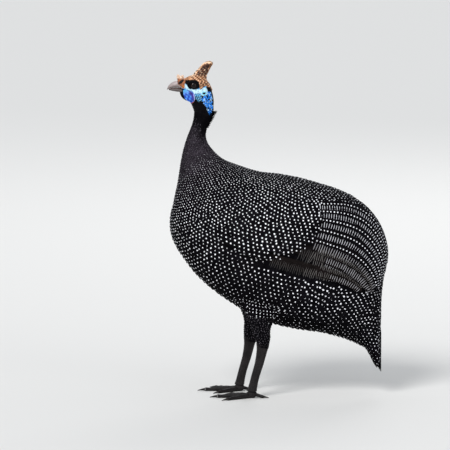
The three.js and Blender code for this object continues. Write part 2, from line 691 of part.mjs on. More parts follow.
const upperNeck = ribLoft(TRUNK, neckStart, neckEnd, 7, 18).add(napeTuft());
place("neck_upper", upperNeck.subtract(headForm(GAP)), PLUMAGE);
place("neck_lower", ribLoft(TRUNK, lowerStart, lowerEnd, 6, 24), PLUMAGE);
const torsoForm = (lift = 0) => ribLoft(TRUNK, torsoStart, torsoEnd, 11, 30, lift);
const rumpForm = (lift = 0) => ribLoft(TRUNK, rumpStart, rumpEnd, 12, 30, lift);
place("torso", torsoForm().subtract(bothBeds), PLUMAGE);
place("rump", rumpForm().subtract(bothBeds), PLUMAGE);
place("tail", tail(), PLUMAGE);

const trunkCutter = torsoForm(GAP * 1.5).add(rumpForm(GAP * 1.5));
for (const [name, side] of SIDES) {
  const step = side > 0 ? 0 : RIGHT_STEP;
  const leg = (solid) => mirrored(solid.translate([0, -LEG_Y, 0]), side).translate([step, 0, 0]);
  place(name + "_eye", mirrored(ball(EYE_X, -EYE_Y, EYE_Z, EYE_RADIUS, 12), side), EYE);
  place(name + "_wattle", mirrored(wattle(), side), WATTLE);
  place(name + "_wing", mirrored(wing(), side), PLUMAGE);
  place(name + "_shank", leg(shankForm()).subtract(trunkCutter), PLUMAGE);
  place(name + "_tarsus", leg(tarsusForm()), LEG);
  place(name + "_foot", leg(foot()), LEG);
  for (const toe of TOES) place(name + "_claw_" + toe.name, leg(clawSolid(toe).subtract(below)), CLAW);
}

// The origin is at the middle of the model's box, on the floor.
const bounds = new THREE.Box3().setFromObject(bird);
const middle = bounds.getCenter(new THREE.Vector3());
bird.position.set(-middle.x, -middle.y, -bounds.min.z);

export default bird;
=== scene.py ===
"""A helmeted guineafowl in full plumage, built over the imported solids.

Shapes are worked out in millimetres in the frame of the part's source and turned into metres of the row frame
when they become meshes. The bird faces -X, its left side is towards -Y, and the floor is z = 0.
"""

import math

import bpy
import numpy as np
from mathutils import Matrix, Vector
from mathutils.bvhtree import BVHTree
from mathutils.kdtree import KDTree


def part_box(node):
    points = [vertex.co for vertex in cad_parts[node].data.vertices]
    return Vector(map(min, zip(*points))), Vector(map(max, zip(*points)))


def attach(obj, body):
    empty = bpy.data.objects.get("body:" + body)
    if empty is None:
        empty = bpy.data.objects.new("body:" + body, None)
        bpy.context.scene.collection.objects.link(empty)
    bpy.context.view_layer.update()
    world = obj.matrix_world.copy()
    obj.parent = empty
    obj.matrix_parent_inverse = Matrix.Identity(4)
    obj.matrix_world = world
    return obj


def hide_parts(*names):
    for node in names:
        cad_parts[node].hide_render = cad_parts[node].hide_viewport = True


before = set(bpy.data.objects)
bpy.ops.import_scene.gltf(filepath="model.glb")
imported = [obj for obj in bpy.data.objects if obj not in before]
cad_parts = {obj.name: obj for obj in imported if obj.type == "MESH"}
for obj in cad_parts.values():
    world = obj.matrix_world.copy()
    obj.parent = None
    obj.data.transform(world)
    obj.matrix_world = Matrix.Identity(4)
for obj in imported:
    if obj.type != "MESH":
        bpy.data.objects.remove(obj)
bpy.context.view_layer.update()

# The centre of the eyes in the part's source, which tells how far its origin was moved.
EYE = (-103.4, 9.6, 456.0)
EYE_RADIUS = 6.2
LEFT_EYE_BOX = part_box("left_eye")
SHIFT_X = (LEFT_EYE_BOX[0].x + LEFT_EYE_BOX[1].x) * 500 - EYE[0]

TURN = 2 * math.pi
SIDES = ((-1, "left"), (1, "right"))
rng = np.random.default_rng(seed=7)

# Ribs of the trunk, as in the part's source: throat or belly x and z, nape or back x and z, and half width.
HEAD_RIBS = [
    (-121, 447, -119, 462, 6.5),
    (-119.5, 444, -113, 466, 9.5),
    (-117, 440.5, -106.5, 468.5, 12),
    (-114.3, 437, -99, 469.5, 14),
    (-111.5, 434, -91.5, 467, 15),
    (-109.3, 431.5, -84.5, 461, 15),
    (-107.6, 429, -79.5, 453, 14.5),
    (-106.2, 426, -76, 443, 13.5),
    (-104.5, 421.5, -74.2, 431, 12.7),
]
NECK_RIBS = [
    (-103, 414, -75, 417.5, 12),
    (-104, 404, -79.5, 405, 11.7),
    (-108, 392, -84.5, 391, 12),
    (-113.5, 378, -85.5, 378, 14),
    (-118.5, 361, -79, 364.5, 19),
    (-122.5, 341, -62, 348, 28),
]
BODY_RIBS = [
    (-126.5, 315, -37, 337.5, 41),
    (-133, 284.5, -8, 328.5, 52),
    (-138.5, 257, 22, 325, 60),
    (-134.5, 231, 51, 319.5, 66),
    (-118.5, 202, 80, 311.5, 69),
    (-94.5, 172.5, 106, 303, 70),
    (-64, 147, 129, 292, 69),
    (-29, 124.5, 148, 276, 65.5),
    (8, 107, 162.5, 258, 60),
    (47, 97.5, 173, 237, 53),
    (80, 93, 178, 214, 45.5),
    (106, 86.5, 176.5, 190, 38),
    (125, 80, 172.5, 165, 31.5),
]
TAIL_RIBS = [
    (138, 74, 170.5, 139, 26.5),
    (147.5, 68.5, 170, 111, 23),
    (155, 56, 168.5, 77, 20),
    (161.5, 44, 170, 54, 16),
    (165.5, 38.5, 170.3, 41.5, 11),
]
TRUNK = np.array(HEAD_RIBS + NECK_RIBS + BODY_RIBS + TAIL_RIBS, float)
NECK_AT = len(HEAD_RIBS)
BODY_AT = NECK_AT + len(NECK_RIBS)
TAIL_AT = BODY_AT + len(BODY_RIBS)
FULLNESS = 2.15


def rib_values(ribs, station):
    """Catmull-Rom values of a table of ribs at fractional stations."""
    station = np.asarray(station, float)
    padded = np.vstack([2 * ribs[0] - ribs[1], ribs, 2 * ribs[-1] - ribs[-2]])
    low = np.clip(np.floor(station).astype(int), 0, len(ribs) - 2)
    t = (station - low)[..., None]
    before, here, after, beyond = (padded[low + k] for k in range(4))
    return 0.5 * (
        2 * here
        + (after - before) * t
        + (2 * before - 5 * here + 4 * after - beyond) * t**2
        + (3 * here - before - 3 * after + beyond) * t**3
    )


def signed_power(value, power):
    return np.sign(value) * np.abs(value) ** power


def on_ribs(ribs, station, angle, lift=0.0, fullness=FULLNESS):
    """Points over a ribbed form. Angle 0 is its back, pi its belly and pi / 2 its -Y side."""
    station, angle, lift = np.broadcast_arrays(station, angle, lift)
    values = rib_values(ribs, station)
    near, far, half = values[..., 0:2], values[..., 2:4], values[..., 4]
    reach = np.linalg.norm(far - near, axis=-1) / 2
    along = signed_power(np.cos(angle), 2 / fullness) * (reach + lift) / reach
    place = (near + far) / 2 + along[..., None] * (far - near) / 2
    side = -signed_power(np.sin(angle), 2 / fullness) * (half + lift)
    return np.stack([place[..., 0], side, place[..., 1]], axis=-1)


def ease(low, high, value):
    """A smooth step from 0 at low to 1 at high; low may be the greater of the two."""
    t = np.clip((np.asarray(value, float) - low) / (high - low), 0, 1)
    return t * t * (3 - 2 * t)


def unit(vectors):
    return vectors / np.maximum(np.linalg.norm(vectors, axis=-1, keepdims=True), 1e-9)


def folded(angle):
    """Degrees from the back towards the belly, alike on both sides."""
    return np.degrees(np.abs((np.asarray(angle, float) + math.pi) % TURN - math.pi))


# Faces and closed shapes, as pairs of points and faces.
def grid_faces(rows, columns, closed=False, looped=False):
    """Quads of a grid of points; closed joins its last column to its first, and looped its last row."""
    number = np.arange(rows * columns).reshape(rows, columns)
    if closed:
        number = np.hstack([number, number[:, :1]])
    if looped:
        number = np.vstack([number, number[:1]])
    corners = [number[:-1, :-1], number[:-1, 1:], number[1:, 1:], number[1:, :-1]]
    return np.stack(corners, axis=-1).reshape(-1, 4)


def shell_faces(rows, columns):
    """Quads of a thin closed shell: an outer grid, then an inner one, and the rim between them."""
    each = rows * columns
    number = np.arange(each).reshape(rows, columns)
    outer = grid_faces(rows, columns)
    edge = np.concatenate([number[:, 0], number[-1, 1:], number[-2::-1, -1], number[0, -2:0:-1]])
    following = np.roll(edge, -1)
    rim = np.stack([edge, following, following + each, edge + each], axis=-1)
    return np.vstack([outer, outer[:, ::-1] + each, rim])


def repeated(faces, count, stride):
    """The faces of one feather or mark for a number of them, whose points start a stride apart."""
    return (faces[None] + (np.arange(count) * stride)[:, None, None]).reshape(-1, faces.shape[1])


def joined(parts):
    """Points and faces of several shapes as one."""
    points, faces, offset = [], [], 0
    for part_points, part_faces in parts:
        points.append(part_points)
        faces.extend([[int(corner) + offset for corner in face] for face in part_faces])
        offset += len(part_points)
    return np.vstack(points), faces


def loft(rings):
    """A closed loft through rings of points, with a fan at each end."""
    rings = np.asarray(rings, float)
    count, sides = rings.shape[:2]
    points = np.vstack([rings.reshape(-1, 3), rings[0].mean(0), rings[-1].mean(0)])
    faces = grid_faces(count, sides, closed=True)[:, ::-1].tolist()
    first, last = count * sides, count * sides + 1
    for k in range(sides):
        following = (k + 1) % sides
        faces.append((first, k, following))
        faces.append((last, (count - 1) * sides + following, (count - 1) * sides + k))
    return points, faces


def ring_grid(stations, sides):
    """The stations and angles of rings of points."""
    return np.meshgrid(stations, np.linspace(0, TURN, sides, endpoint=False), indexing="ij")


def ribbed(ribs, rings=40, sides=36, fullness=FULLNESS, lift=0.0):
    """A closed form over a table of ribs."""
    station, angle = ring_grid(np.linspace(0, len(ribs) - 1, rings), sides)
    return loft(on_ribs(np.array(ribs, float), station, angle, lift, fullness))


def ellipsoid(centre, radii, rings=10, sides=14):
    tilt, turn = ring_grid(np.linspace(0.02, math.pi - 0.02, rings), sides)
    shape = np.stack([np.sin(tilt) * np.cos(turn), np.sin(tilt) * np.sin(turn), np.cos(tilt)], axis=-1)
    return loft(np.asarray(centre) + shape * np.asarray(radii))


def torus(centre, radii, thick, turns=40, sides=10):
    """A ring round the y axis; radii are its half sizes along x and z."""
    around, tube = ring_grid(np.linspace(0, TURN, turns, endpoint=False), sides)
    x = centre[0] + np.cos(around) * (radii[0] + thick * np.cos(tube))
    z = centre[2] + np.sin(around) * (radii[1] + thick * np.cos(tube))
    points = np.stack([x, centre[1] + thick * np.sin(tube), z], axis=-1).reshape(-1, 3)
    return points, grid_faces(turns, sides, closed=True, looped=True)


def wrinkled(points, amount, scale, seed):
    """Points moved a little by a sum of waves, for skin and horn that isn't smooth."""
    waves = np.random.default_rng(seed)
    moved = np.zeros_like(points)
    for _ in range(7):
        direction = waves.normal(size=3) * scale
        phase = waves.uniform(0, TURN)
        moved += np.sin(points @ direction + phase)[:, None] * waves.normal(size=3)
    return points + moved * amount / 4


# Objects of the scene.
def new_mesh(name, points, faces):
    mesh = bpy.data.meshes.new(name)
    mesh.from_pydata(np.asarray(points).tolist(), [], [[int(corner) for corner in face] for face in faces])
    return mesh


def placed(name, data, place=(0, 0, 0), target=None):
    """An object in the scene, turned towards a target where it has one."""
    shape = bpy.data.objects.new(name, data)
    shape.location = place
    if target is not None:
        shape.rotation_euler = (target - Vector(place)).to_track_quat("-Z", "Y").to_euler()
    bpy.context.collection.objects.link(shape)
    return shape


def add_piece(name, shape, material, nodes=(), tones=None, uvs=None, sharp=None):
    """A piece of the scene; tones and uvs are per point, and nodes are the ones whose place it takes."""
    points, faces = shape
    mesh = new_mesh(name, (points + (SHIFT_X, 0, 0)) * 0.001, faces)
    mesh.validate()
    if tones is not None:
        layer = mesh.color_attributes.new("Tone", "FLOAT_COLOR", "POINT")
        layer.data.foreach_set("color", np.hstack([tones, np.ones((len(points), 1))]).ravel())
    if uvs is not None:
        corners = np.empty(len(mesh.loops), int)
        mesh.loops.foreach_get("vertex_index", corners)
        mesh.uv_layers.new(name="OFBake").data.foreach_set("uv", uvs[corners].ravel())
    mesh.shade_smooth()
    if sharp is not None:
        mesh.set_sharp_from_angle(angle=math.radians(sharp))
    mesh.materials.append(material)
    piece = placed(name, mesh)
    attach(piece, "root")
    if nodes:
        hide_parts(*nodes)


def grown(name, parts, voxel, rounds):
    """Overlapping closed parts as one smooth closed surface: its points in millimetres and its faces."""
    mesh = new_mesh(name, *joined(parts))
    shape = placed(name, mesh)
    remesh = shape.modifiers.new("remesh", "REMESH")
    remesh.mode = "VOXEL"
    remesh.voxel_size = voxel
    smooth = shape.modifiers.new("smooth", "SMOOTH")
    smooth.iterations = rounds
    smooth.factor = 0.5
    bpy.context.view_layer.update()
    result = shape.evaluated_get(bpy.context.evaluated_depsgraph_get()).to_mesh()
    points = np.empty(len(result.vertices) * 3)
    result.vertices.foreach_get("co", points)
    faces = [tuple(face.vertices) for face in result.polygons]
    bpy.data.objects.remove(shape)
    bpy.data.meshes.remove(mesh)
    return points.reshape(-1, 3), faces


# Materials.
def new_material(name, roughness, specular=0.5):
    """A material with its node tree and its shader."""
    material = bpy.data.materials.new(name)
    material.use_nodes = True
    shader = material.node_tree.nodes["Principled BSDF"]
    shader.inputs["Roughness"].default_value = roughness
    shader.inputs["Specular IOR Level"].default_value = specular
    return material, material.node_tree, shader


def texture(tree, kind, scale):
    node = tree.nodes.new(kind)
    node.inputs["Scale"].default_value = scale
    place = tree.nodes.new("ShaderNodeTexCoord")
    tree.links.new(place.outputs["Object"], node.inputs["Vector"])
    return node


def noise(tree, scale):
    node = texture(tree, "ShaderNodeTexNoise", scale)
    node.inputs["Detail"].default_value = 3.0
    return node.outputs["Fac"]


def cells(tree, scale):
    """Distance from the seams between cells."""
    node = texture(tree, "ShaderNodeTexVoronoi", scale)
    node.feature = "DISTANCE_TO_EDGE"
    return node.outputs["Distance"]


def ramp(tree, value, *stops):
    """Greys over a value; each stop is a place and a grey."""
    node = tree.nodes.new("ShaderNodeValToRGB")
    while len(node.color_ramp.elements) < len(stops):
        node.color_ramp.elements.new(0.5)
    for element, (place, grey) in zip(node.color_ramp.elements, stops):
        element.position = place
        element.color = (grey, grey, grey, 1)
    tree.links.new(value, node.inputs["Fac"])
    return node.outputs["Color"]


def mixed(tree, first, second, factor=1.0, mode="MULTIPLY"):
    node = tree.nodes.new("ShaderNodeMix")
    node.data_type = "RGBA"
    node.blend_type = mode
    for socket, value in (("Factor_Float", factor), ("A_Color", first), ("B_Color", second)):
        target = next(s for s in node.inputs if s.identifier == socket)
        if isinstance(value, bpy.types.NodeSocket):
            tree.links.new(value, target)
        else:
            target.default_value = value if socket == "Factor_Float" else (*value, 1)
    return next(s for s in node.outputs if s.identifier == "Result_Color")


def tone(tree):
    """The painted tone of each point."""
    node = tree.nodes.new("ShaderNodeAttribute")
    node.attribute_name = "Tone"
    return node.outputs["Color"]


def bump(tree, shader, height, strength, distance):
    node = tree.nodes.new("ShaderNodeBump")
    node.inputs["Strength"].default_value = strength
    node.inputs["Distance"].default_value = distance
    tree.links.new(height, node.inputs["Height"])
    tree.links.new(node.outputs["Normal"], shader.inputs["Normal"])


def plumage_material():
    """Charcoal feathers with a fine grey network, in the tone of each feather."""
    material, tree, shader = new_material("plumage", 0.75, 0.025)
    network = ramp(tree, cells(tree, 900), (0.0, 1.0), (0.09, 0.35), (0.3, 0.0))
    speckled = mixed(tree, (0.55, 0.55, 0.55), (2.6, 2.5, 2.6), network, "MIX")
    drift = ramp(tree, noise(tree, 90), (0.3, 0.65), (0.7, 1.25))
    colour = mixed(tree, mixed(tree, tone(tree), speckled), drift)
    tree.links.new(colour, shader.inputs["Base Color"])
    return material


def plain_material(name, colour, roughness=0.65):
    """One colour, for a kind of mark on the feathers and for the floor."""
    material, _, shader = new_material(name, roughness)
    shader.inputs["Base Color"].default_value = (*colour, 1)
    return material


def skin_material():
    """Bare skin of the head and neck: painted tones with fine wrinkles."""
    material, tree, shader = new_material("bare_skin", 0.6, 0.05)
    drift = ramp(tree, noise(tree, 420), (0.32, 0.5), (0.62, 1.2))
    tree.links.new(mixed(tree, tone(tree), drift), shader.inputs["Base Color"])
    bump(tree, shader, noise(tree, 900), 0.35, 0.0006)
    return material


def toned_material(name, roughness, scale, depth, darkest=0.7, lightest=1.25):
    """A surface in painted tones with a grain of its own."""
    material, tree, shader = new_material(name, roughness, 0.25)
    drift = ramp(tree, noise(tree, scale), (0.38, darkest), (0.62, lightest))
    tree.links.new(mixed(tree, tone(tree), drift), shader.inputs["Base Color"])
    bump(tree, shader, noise(tree, scale * 1.7), 0.5, depth)
    return material


def eye_material():
    material, tree, shader = new_material("eye_gloss", 0.08, 0.2)
    tree.links.new(tone(tree), shader.inputs["Base Color"])
    shader.inputs["Coat Weight"].default_value = 0.05
    return material


def scale_material(name, colour, scale):
    """Horny scales with dark seams between them."""
    material, tree, shader = new_material(name, 0.55, 0.15)
    distance = cells(tree, scale)
    seams = ramp(tree, distance, (0.0, 0.3), (0.12, 0.95), (0.5, 1.3))
    drift = ramp(tree, noise(tree, 70), (0.3, 0.6), (0.7, 1.5))
    tree.links.new(mixed(tree, mixed(tree, colour, seams), drift), shader.inputs["Base Color"])
    bump(tree, shader, distance, 0.6, 0.0006)
    return material


PLUMAGE = plumage_material()
MARK_MATERIALS = {
    "pearl_dots": plain_material("pearl_marks", (0.93, 0.93, 0.97)),
    "light_bars": plain_material("light_bars", (0.62, 0.62, 0.66)),
    "pale_bars": plain_material("pale_bars", (0.38, 0.37, 0.39)),
    "brown_bars": plain_material("brown_bars", (0.13, 0.12, 0.115)),
    "wing_bars": plain_material("wing_bars", (0.045, 0.040, 0.039)),
    "neck_flecks": plain_material("neck_flecks", (0.085, 0.075, 0.09)),
}
SKIN = skin_material()
HORN = toned_material("casque_horn", 0.5, 380, 0.0006, 0.3, 1.6)
BILL = toned_material("bill_horn", 0.45, 300, 0.0002, 0.8, 1.15)
CERE = toned_material("cere_skin", 0.55, 420, 0.0003)
WATTLE = toned_material("wattle_skin", 0.42, 350, 0.0003)
LEG = scale_material("leg_scales", (0.015, 0.0125, 0.013), 420)
CLAW = scale_material("claw_horn", (0.018, 0.015, 0.014), 90)
EYEBALL = eye_material()

# Feather tones of the bird's regions.
CHARCOAL = np.array((0.0028, 0.0026, 0.0035))
NECK_GREY = np.array((0.0175, 0.0143, 0.0185))
WING_BROWN = np.array((0.0062, 0.0048, 0.0045))
JET = np.array((0.0022, 0.002, 0.0026))


def layered(points, ground, *layers):
    """Tones for as many points as there are: a ground colour under layers of a colour and its amount."""
    tones = np.tile(np.asarray(ground, float), (len(points), 1))
    for colour, amount in layers:
        amount = amount[:, None]
        tones = tones * (1 - amount) + np.asarray(colour) * amount
    return tones


NUDGE = 0.02


class Form:
    """A ribbed form in its place; its unwrap starts at base in v and is tall high."""

    def __init__(self, ribs, x=0.0, y=0.0, base=0.01, tall=0.84):
        self.ribs = np.asarray(ribs, float)
        self.move = np.array((x, y, 0.0))
        self.base = base
        self.tall = tall
        self.end = len(self.ribs) - 1

    def at(self, station, angle, lift=0.0):
        return on_ribs(self.ribs, station, angle, lift) + self.move

    def tangents(self, station, angle, reach=NUDGE):
        """Vectors of millimetres for each station and for each radian."""
        along = (self.at(station + reach, angle) - self.at(station - reach, angle)) / (2 * reach)
        around = (self.at(station, angle + NUDGE) - self.at(station, angle - NUDGE)) / (2 * NUDGE)
        return along, around

    def metric(self, station, angle):
        """Millimetres for each station and for each radian at places on the form."""
        along, around = (np.linalg.norm(vector, axis=-1) for vector in self.tangents(station, angle, 0.03))
        return along, np.maximum(around, 4)

    def steps(self, station, angle, move):
        """The change of station and of angle that makes a move, given as a vector along the surface."""
        along, around = self.tangents(station, angle)
        aa, ab, bb = (along * along).sum(-1), (along * around).sum(-1), (around * around).sum(-1)
        ma, mb = (along * move).sum(-1), (around * move).sum(-1)
        scale = np.maximum(aa * bb - ab * ab, 1e-3)
        return (ma * bb - mb * ab) / scale, (mb * aa - ma * ab) / scale

    def normals(self, station, angle):
        along, around = self.tangents(station, angle)
        normal = unit(np.cross(around, along))
        outward = self.at(station, angle, 1.0) - self.at(station, angle)
        return np.where((normal * outward).sum(-1, keepdims=True) < 0, -normal, normal)

    def unwrap(self, station, angle):
        """Places on the unwrap; the head's stations take a larger share of it than their length."""
        stops, shares = [0, self.end], [0.01, 0.98]
        if self.end > BODY_AT:
            stops, shares = [0, NECK_AT, self.end], [0.01, 0.43, 0.98]
        v = self.base + self.tall * np.mod(angle, TURN) / TURN
        return np.stack([np.interp(station, stops, shares), v], axis=-1)


LEG_Y = 28
RIGHT_STEP = -18
SHANK_RIBS = [
    (-40, 150, 26, 138, 20),
    (-29, 124, 15, 117, 17),
    (-21.5, 107, 8.5, 101.5, 12),
    (-16.5, 93, 8.2, 89, 8.2),
    (-13, 82.5, 6.5, 78.6, 6.4),
    (-11.6, 76, 5.6, 73, 6.2),
]
# The front of the right shank, which stands further forward, is steeper in its feathers.
RIGHT_FRONT = np.zeros((6, 5))
RIGHT_FRONT[:, 0] = (12, 11, 9, 4, 0.5, 0)
BIRD = Form(TRUNK)
SHANKS = (
    Form(SHANK_RIBS, 0, -LEG_Y, base=0.87, tall=0.05),
    Form(SHANK_RIBS + RIGHT_FRONT, RIGHT_STEP, LEG_Y, base=0.93, tall=0.05),
)


# Places in staggered rows over a form.
ARC_POINTS = 361
LEAST_IN_ROW = 6
# Neighbours that push a place, how near they are in spacings, and how much of the push one round makes.
NEIGHBOURS = 6
PUSH_REACH = 1.12
PUSH_SHARE = 0.35


def even(pitch):
    """A spacing that is the same all over."""
    return lambda station, angle: np.full(len(station), pitch)


def arc_places(form, station, spacing, stagger):
    """Angles spaced evenly by length round one section of a form, at about the given spacing."""
    angles = np.linspace(0, TURN, ARC_POINTS)
    step = np.linalg.norm(np.diff(form.at(station, angles), axis=0), axis=1)
    local = spacing(np.full(ARC_POINTS, station), angles)
    count = np.concatenate([[0], np.cumsum(step / ((local[1:] + local[:-1]) / 2))])
    total = max(LEAST_IN_ROW, round(count[-1]))
    wanted = (np.arange(total) + stagger) / total * count[-1]
    return np.interp(wanted, count, angles)


def row_places(form, first, last, spacing, row_share=0.87, wide_share=0.5):
    """Staggered rows over a form: the rows' pitch is right where the form is wide by the given share."""
    stations, angles = [], []
    station = first
    while station < last:
        found = arc_places(form, station, spacing, 0.5 * (len(angles) % 2))
        row = np.full(len(found), station)
        stations.append(row)
        angles.append(found)
        per_station, _ = form.metric(row, found)
        pitch = float(np.median(spacing(row, found)))
        station += row_share * pitch / float(np.quantile(per_station, wide_share))
    return np.concatenate(stations), np.concatenate(angles)


def jittered(form, station, angle, loose):
    """Places moved at random over a form, by about so many millimetres each way."""
    per_station, per_radian = form.metric(station, angle)
    station = station + rng.normal(0, loose, len(station)) / per_station
    return station, angle + rng.normal(0, loose, len(angle)) / per_radian


def point_tree(points):
    tree = KDTree(len(points))
    for index, point in enumerate(points):
        tree.insert(point, index)
    tree.balance()
    return tree


def thinned(form, station, angle, least):
    """Places without those that lie closer to an earlier one than its least distance."""
    points = form.at(station, angle)
    tree = point_tree(points)
    keep = np.ones(len(points), bool)
    for index, point in enumerate(points):
        if not keep[index]:
            continue
        for _, other, _ in tree.find_range(point, least[index]):
            if other > index:
                keep[other] = False
    return station[keep], angle[keep]


def relaxed(form, station, angle, spacing, rounds=9):
    """Places pushed apart from their nearest neighbours until they lie evenly."""
    for _ in range(rounds):
        points = form.at(station, angle)
        tree = point_tree(points)
        found = [tree.find_n(point, NEIGHBOURS + 1)[1:] for point in points]
        near = np.array([[index for _, index, _ in row] for row in found])
        gap = points[:, None] - points[near]
        distance = np.maximum(np.linalg.norm(gap, axis=2), 1e-6)
        push = np.maximum(0, 1 - distance / (PUSH_REACH * spacing[:, None]))
        move = (gap / distance[..., None] * push[..., None]).sum(axis=1) * spacing[:, None] * PUSH_SHARE
        step_s, step_a = form.steps(station, angle, move)
        station, angle = station + step_s, angle + step_a
    return station, angle


# A coat is a list of shells: outer and inner points by feather, row and column, then tones and roots.
PATCH_WIDE = 0.003
SHARP_EDGE = 50


def unwrap_patch(rows, columns):
    """Places of a grid of points on the small patch of the unwrap that one feather takes."""
    u, v = np.meshgrid(np.linspace(0, PATCH_WIDE, rows), np.linspace(0, PATCH_WIDE, columns), indexing="ij")
    return np.stack([u, v], axis=-1).reshape(-1, 2)


def coat_surface(coat):
    """Points and faces of the outer sides of all feathers."""
    parts = []
    for outer, *_ in coat:
        count, rows, columns = outer.shape[:3]
        parts.append((outer.reshape(-1, 3), repeated(grid_faces(rows, columns), count, rows * columns)))
    return joined(parts)


def feather_piece(name, coat, nodes=()):
    """All feathers of a coat as one piece."""
    parts, tones, uvs = [], [], []
    for outer, inner, own_tones, roots in coat:
        count, rows, columns = outer.shape[:3]
        each = 2 * rows * columns
        points = np.stack([outer, inner], axis=1).reshape(-1, 3)
        parts.append((points, repeated(shell_faces(rows, columns), count, each)))
        tones.append(np.repeat(own_tones, each, axis=0))
        uvs.append((roots[:, None] + np.tile(unwrap_patch(rows, columns), (2, 1))).reshape(-1, 2))
    add_piece(name, joined(parts), PLUMAGE, nodes, np.vstack(tones), np.vstack(uvs), SHARP_EDGE)


def coat_pieces(name, coat, most_faces=95000):
    """A coat as pieces that don't have too many faces each."""
    number = 0
    for shell in coat:
        count, rows, columns = shell[0].shape[:3]
        share = most_faces // len(shell_faces(rows, columns))
        for first in range(0, count, share):
            number += 1
            part = [values[first:first + share] for values in shell]
            feather_piece(f"{name}_{number}", [part])


# Feathers of the body: cambered vanes on a grid that follows the form under them.
VANE_U = np.array([0, 0.3, 0.6, 0.82, 0.94, 1.0])[None, :, None]
VANE_WIDTH = np.array([0.35, 0.88, 1.0, 0.84, 0.55, 0.18])[None, :, None]
VANE_V = np.array([-1, 0, 1.0])[None, None, :]
CAMBER = 0.05
THICK = 0.22
USUAL_LEAN = 0.06
MOST_SHUFFLE = 0.3


def lay_feathers(coat, form, station, angle, length, width, low, rise, tones, swell=None):
    """Small feathers rooted at places on a form; low is their roots' lift and rise what their tips add."""
    roots = form.unwrap(station, angle)
    values = (station, angle, length, width, low, rise, *form.metric(station, angle))
    station, angle, length, width, low, rise, per_station, per_radian = (v[:, None, None] for v in values)
    lean = rng.normal(0, USUAL_LEAN, angle.shape)
    shuffle = rng.uniform(0, MOST_SHUFFLE, angle.shape)
    stations = np.minimum(station + VANE_U * (length / per_station) + 0 * VANE_V, form.end)
    angles = angle + VANE_WIDTH * VANE_V * (width / 2 / per_radian) + lean * VANE_U * (length / per_radian)
    lifts = low + rise * VANE_U**1.3 - CAMBER * width * VANE_V**2 + shuffle
    if swell:
        lifts = lifts + swell(stations, angles)
    coat.append((form.at(stations, angles, lifts), form.at(stations, angles, lifts - THICK), tones, roots))


# The wing's arm raises the coat over the flank. These are its lifts along the stations of the body.
ARM_STATIONS = [1.6, 2.6, 3.6, 4.6, 5.4, 6.2]
ARM_LIFT = [0.0, 3.0, 5.2, 5.8, 3.4, 0.4]


def wing_swell(station, angle):
    """How far the folded wing raises the coat at a place on the trunk."""
    lift = np.interp(station - BODY_AT, ARM_STATIONS, ARM_LIFT, right=0.0)
    return lift * ease(26, 50, folded(angle)) * (1 - ease(96, 110, folded(angle)))


FEATHER_AT = [-6, -4, -2, 0, 2, 5, 8, 11, 14]
FEATHER_PITCH = [2.5, 2.8, 3.7, 5.2, 7.0, 8.2, 8.0, 7.0, 6.2]


def feather_spacing(station, angle):
    """Distance between feather roots: small on the neck, larger down the flank."""
    base = np.interp(station - BODY_AT, FEATHER_AT, FEATHER_PITCH)
    return base * (0.84 + 0.16 * (1 - np.cos(angle)) / 2)


def throat_reach(angle):
    """How many stations further down the grey of the neck goes on at the throat than at the nape."""
    return np.interp(folded(angle), [0, 70, 110, 180], [-0.3, -0.1, 0.4, 1.5])


def grey_start(body, angle):
    """Stations of the body, moved back over the nape, where the grey of the neck starts lower down."""
    return body - 1.3 * ease(115, 55, folded(angle))


def coat_tone(station, angle):
    """The ground colour of feathers at places on the trunk, with painted shade darkening the belly."""
    body = station - BODY_AT
    start = grey_start(body, angle)
    grey = (1 - ease(-2.6, 0.4, body - throat_reach(angle))) * ease(-5.9, -3.4, start)
    tones = layered(station, CHARCOAL, (NECK_GREY, grey), (JET, 1 - ease(-6.2, -4.0, start)))
    # Painted shade: the feathers grow darker towards the belly.
    belly_shade = ease(115, 150, folded(angle))[:, None]
    return tones * (1 - 0.45 * belly_shade) * rng.uniform(0.75, 1.3, (len(station), 1))


def body_coat(coat):
    station, angle = row_places(BIRD, NECK_AT - 0.5, TAIL_AT + 2.2, feather_spacing)
    bare = (station < NECK_AT + 0.35) & (np.cos(angle) > 0.1) & (np.abs(np.sin(angle)) > 0.45)
    station, angle = station[~bare], angle[~bare]
    spacing = feather_spacing(station, angle)
    body = station - BODY_AT
    length = spacing * np.interp(body, [0, 11, 14], [2.3, 2.5, 3.6]) * rng.uniform(0.92, 1.08, len(station))
    thick = np.interp(body, [-6.5, -4, -1, 3, 13, 15], [0.7, 1.0, 1.8, 2.6, 2.6, 1.6])
    tones = coat_tone(station, angle)
    lay_feathers(coat, BIRD, station, angle, length, spacing * 1.45, -thick, thick * 1.25, tones, wing_swell)


def shank_spacing(station, angle):
    return np.interp(station, [0, 4], [5.6, 3.4])


def shank_coat(coat):
    for form in SHANKS:
        station, angle = row_places(form, 0.05, form.end - 0.5, shank_spacing)
        spacing = shank_spacing(station, angle)
        thick = np.interp(station, [0, 0.7, 1.4, 4, 5], [8.0, 3.0, 2.0, 1.0, 0.6])
        tones = CHARCOAL * rng.uniform(0.5, 0.95, (len(station), 1))
        lay_feathers(coat, form, station, angle, spacing * 2.3, spacing * 1.4, -thick, thick * 1.1, tones)


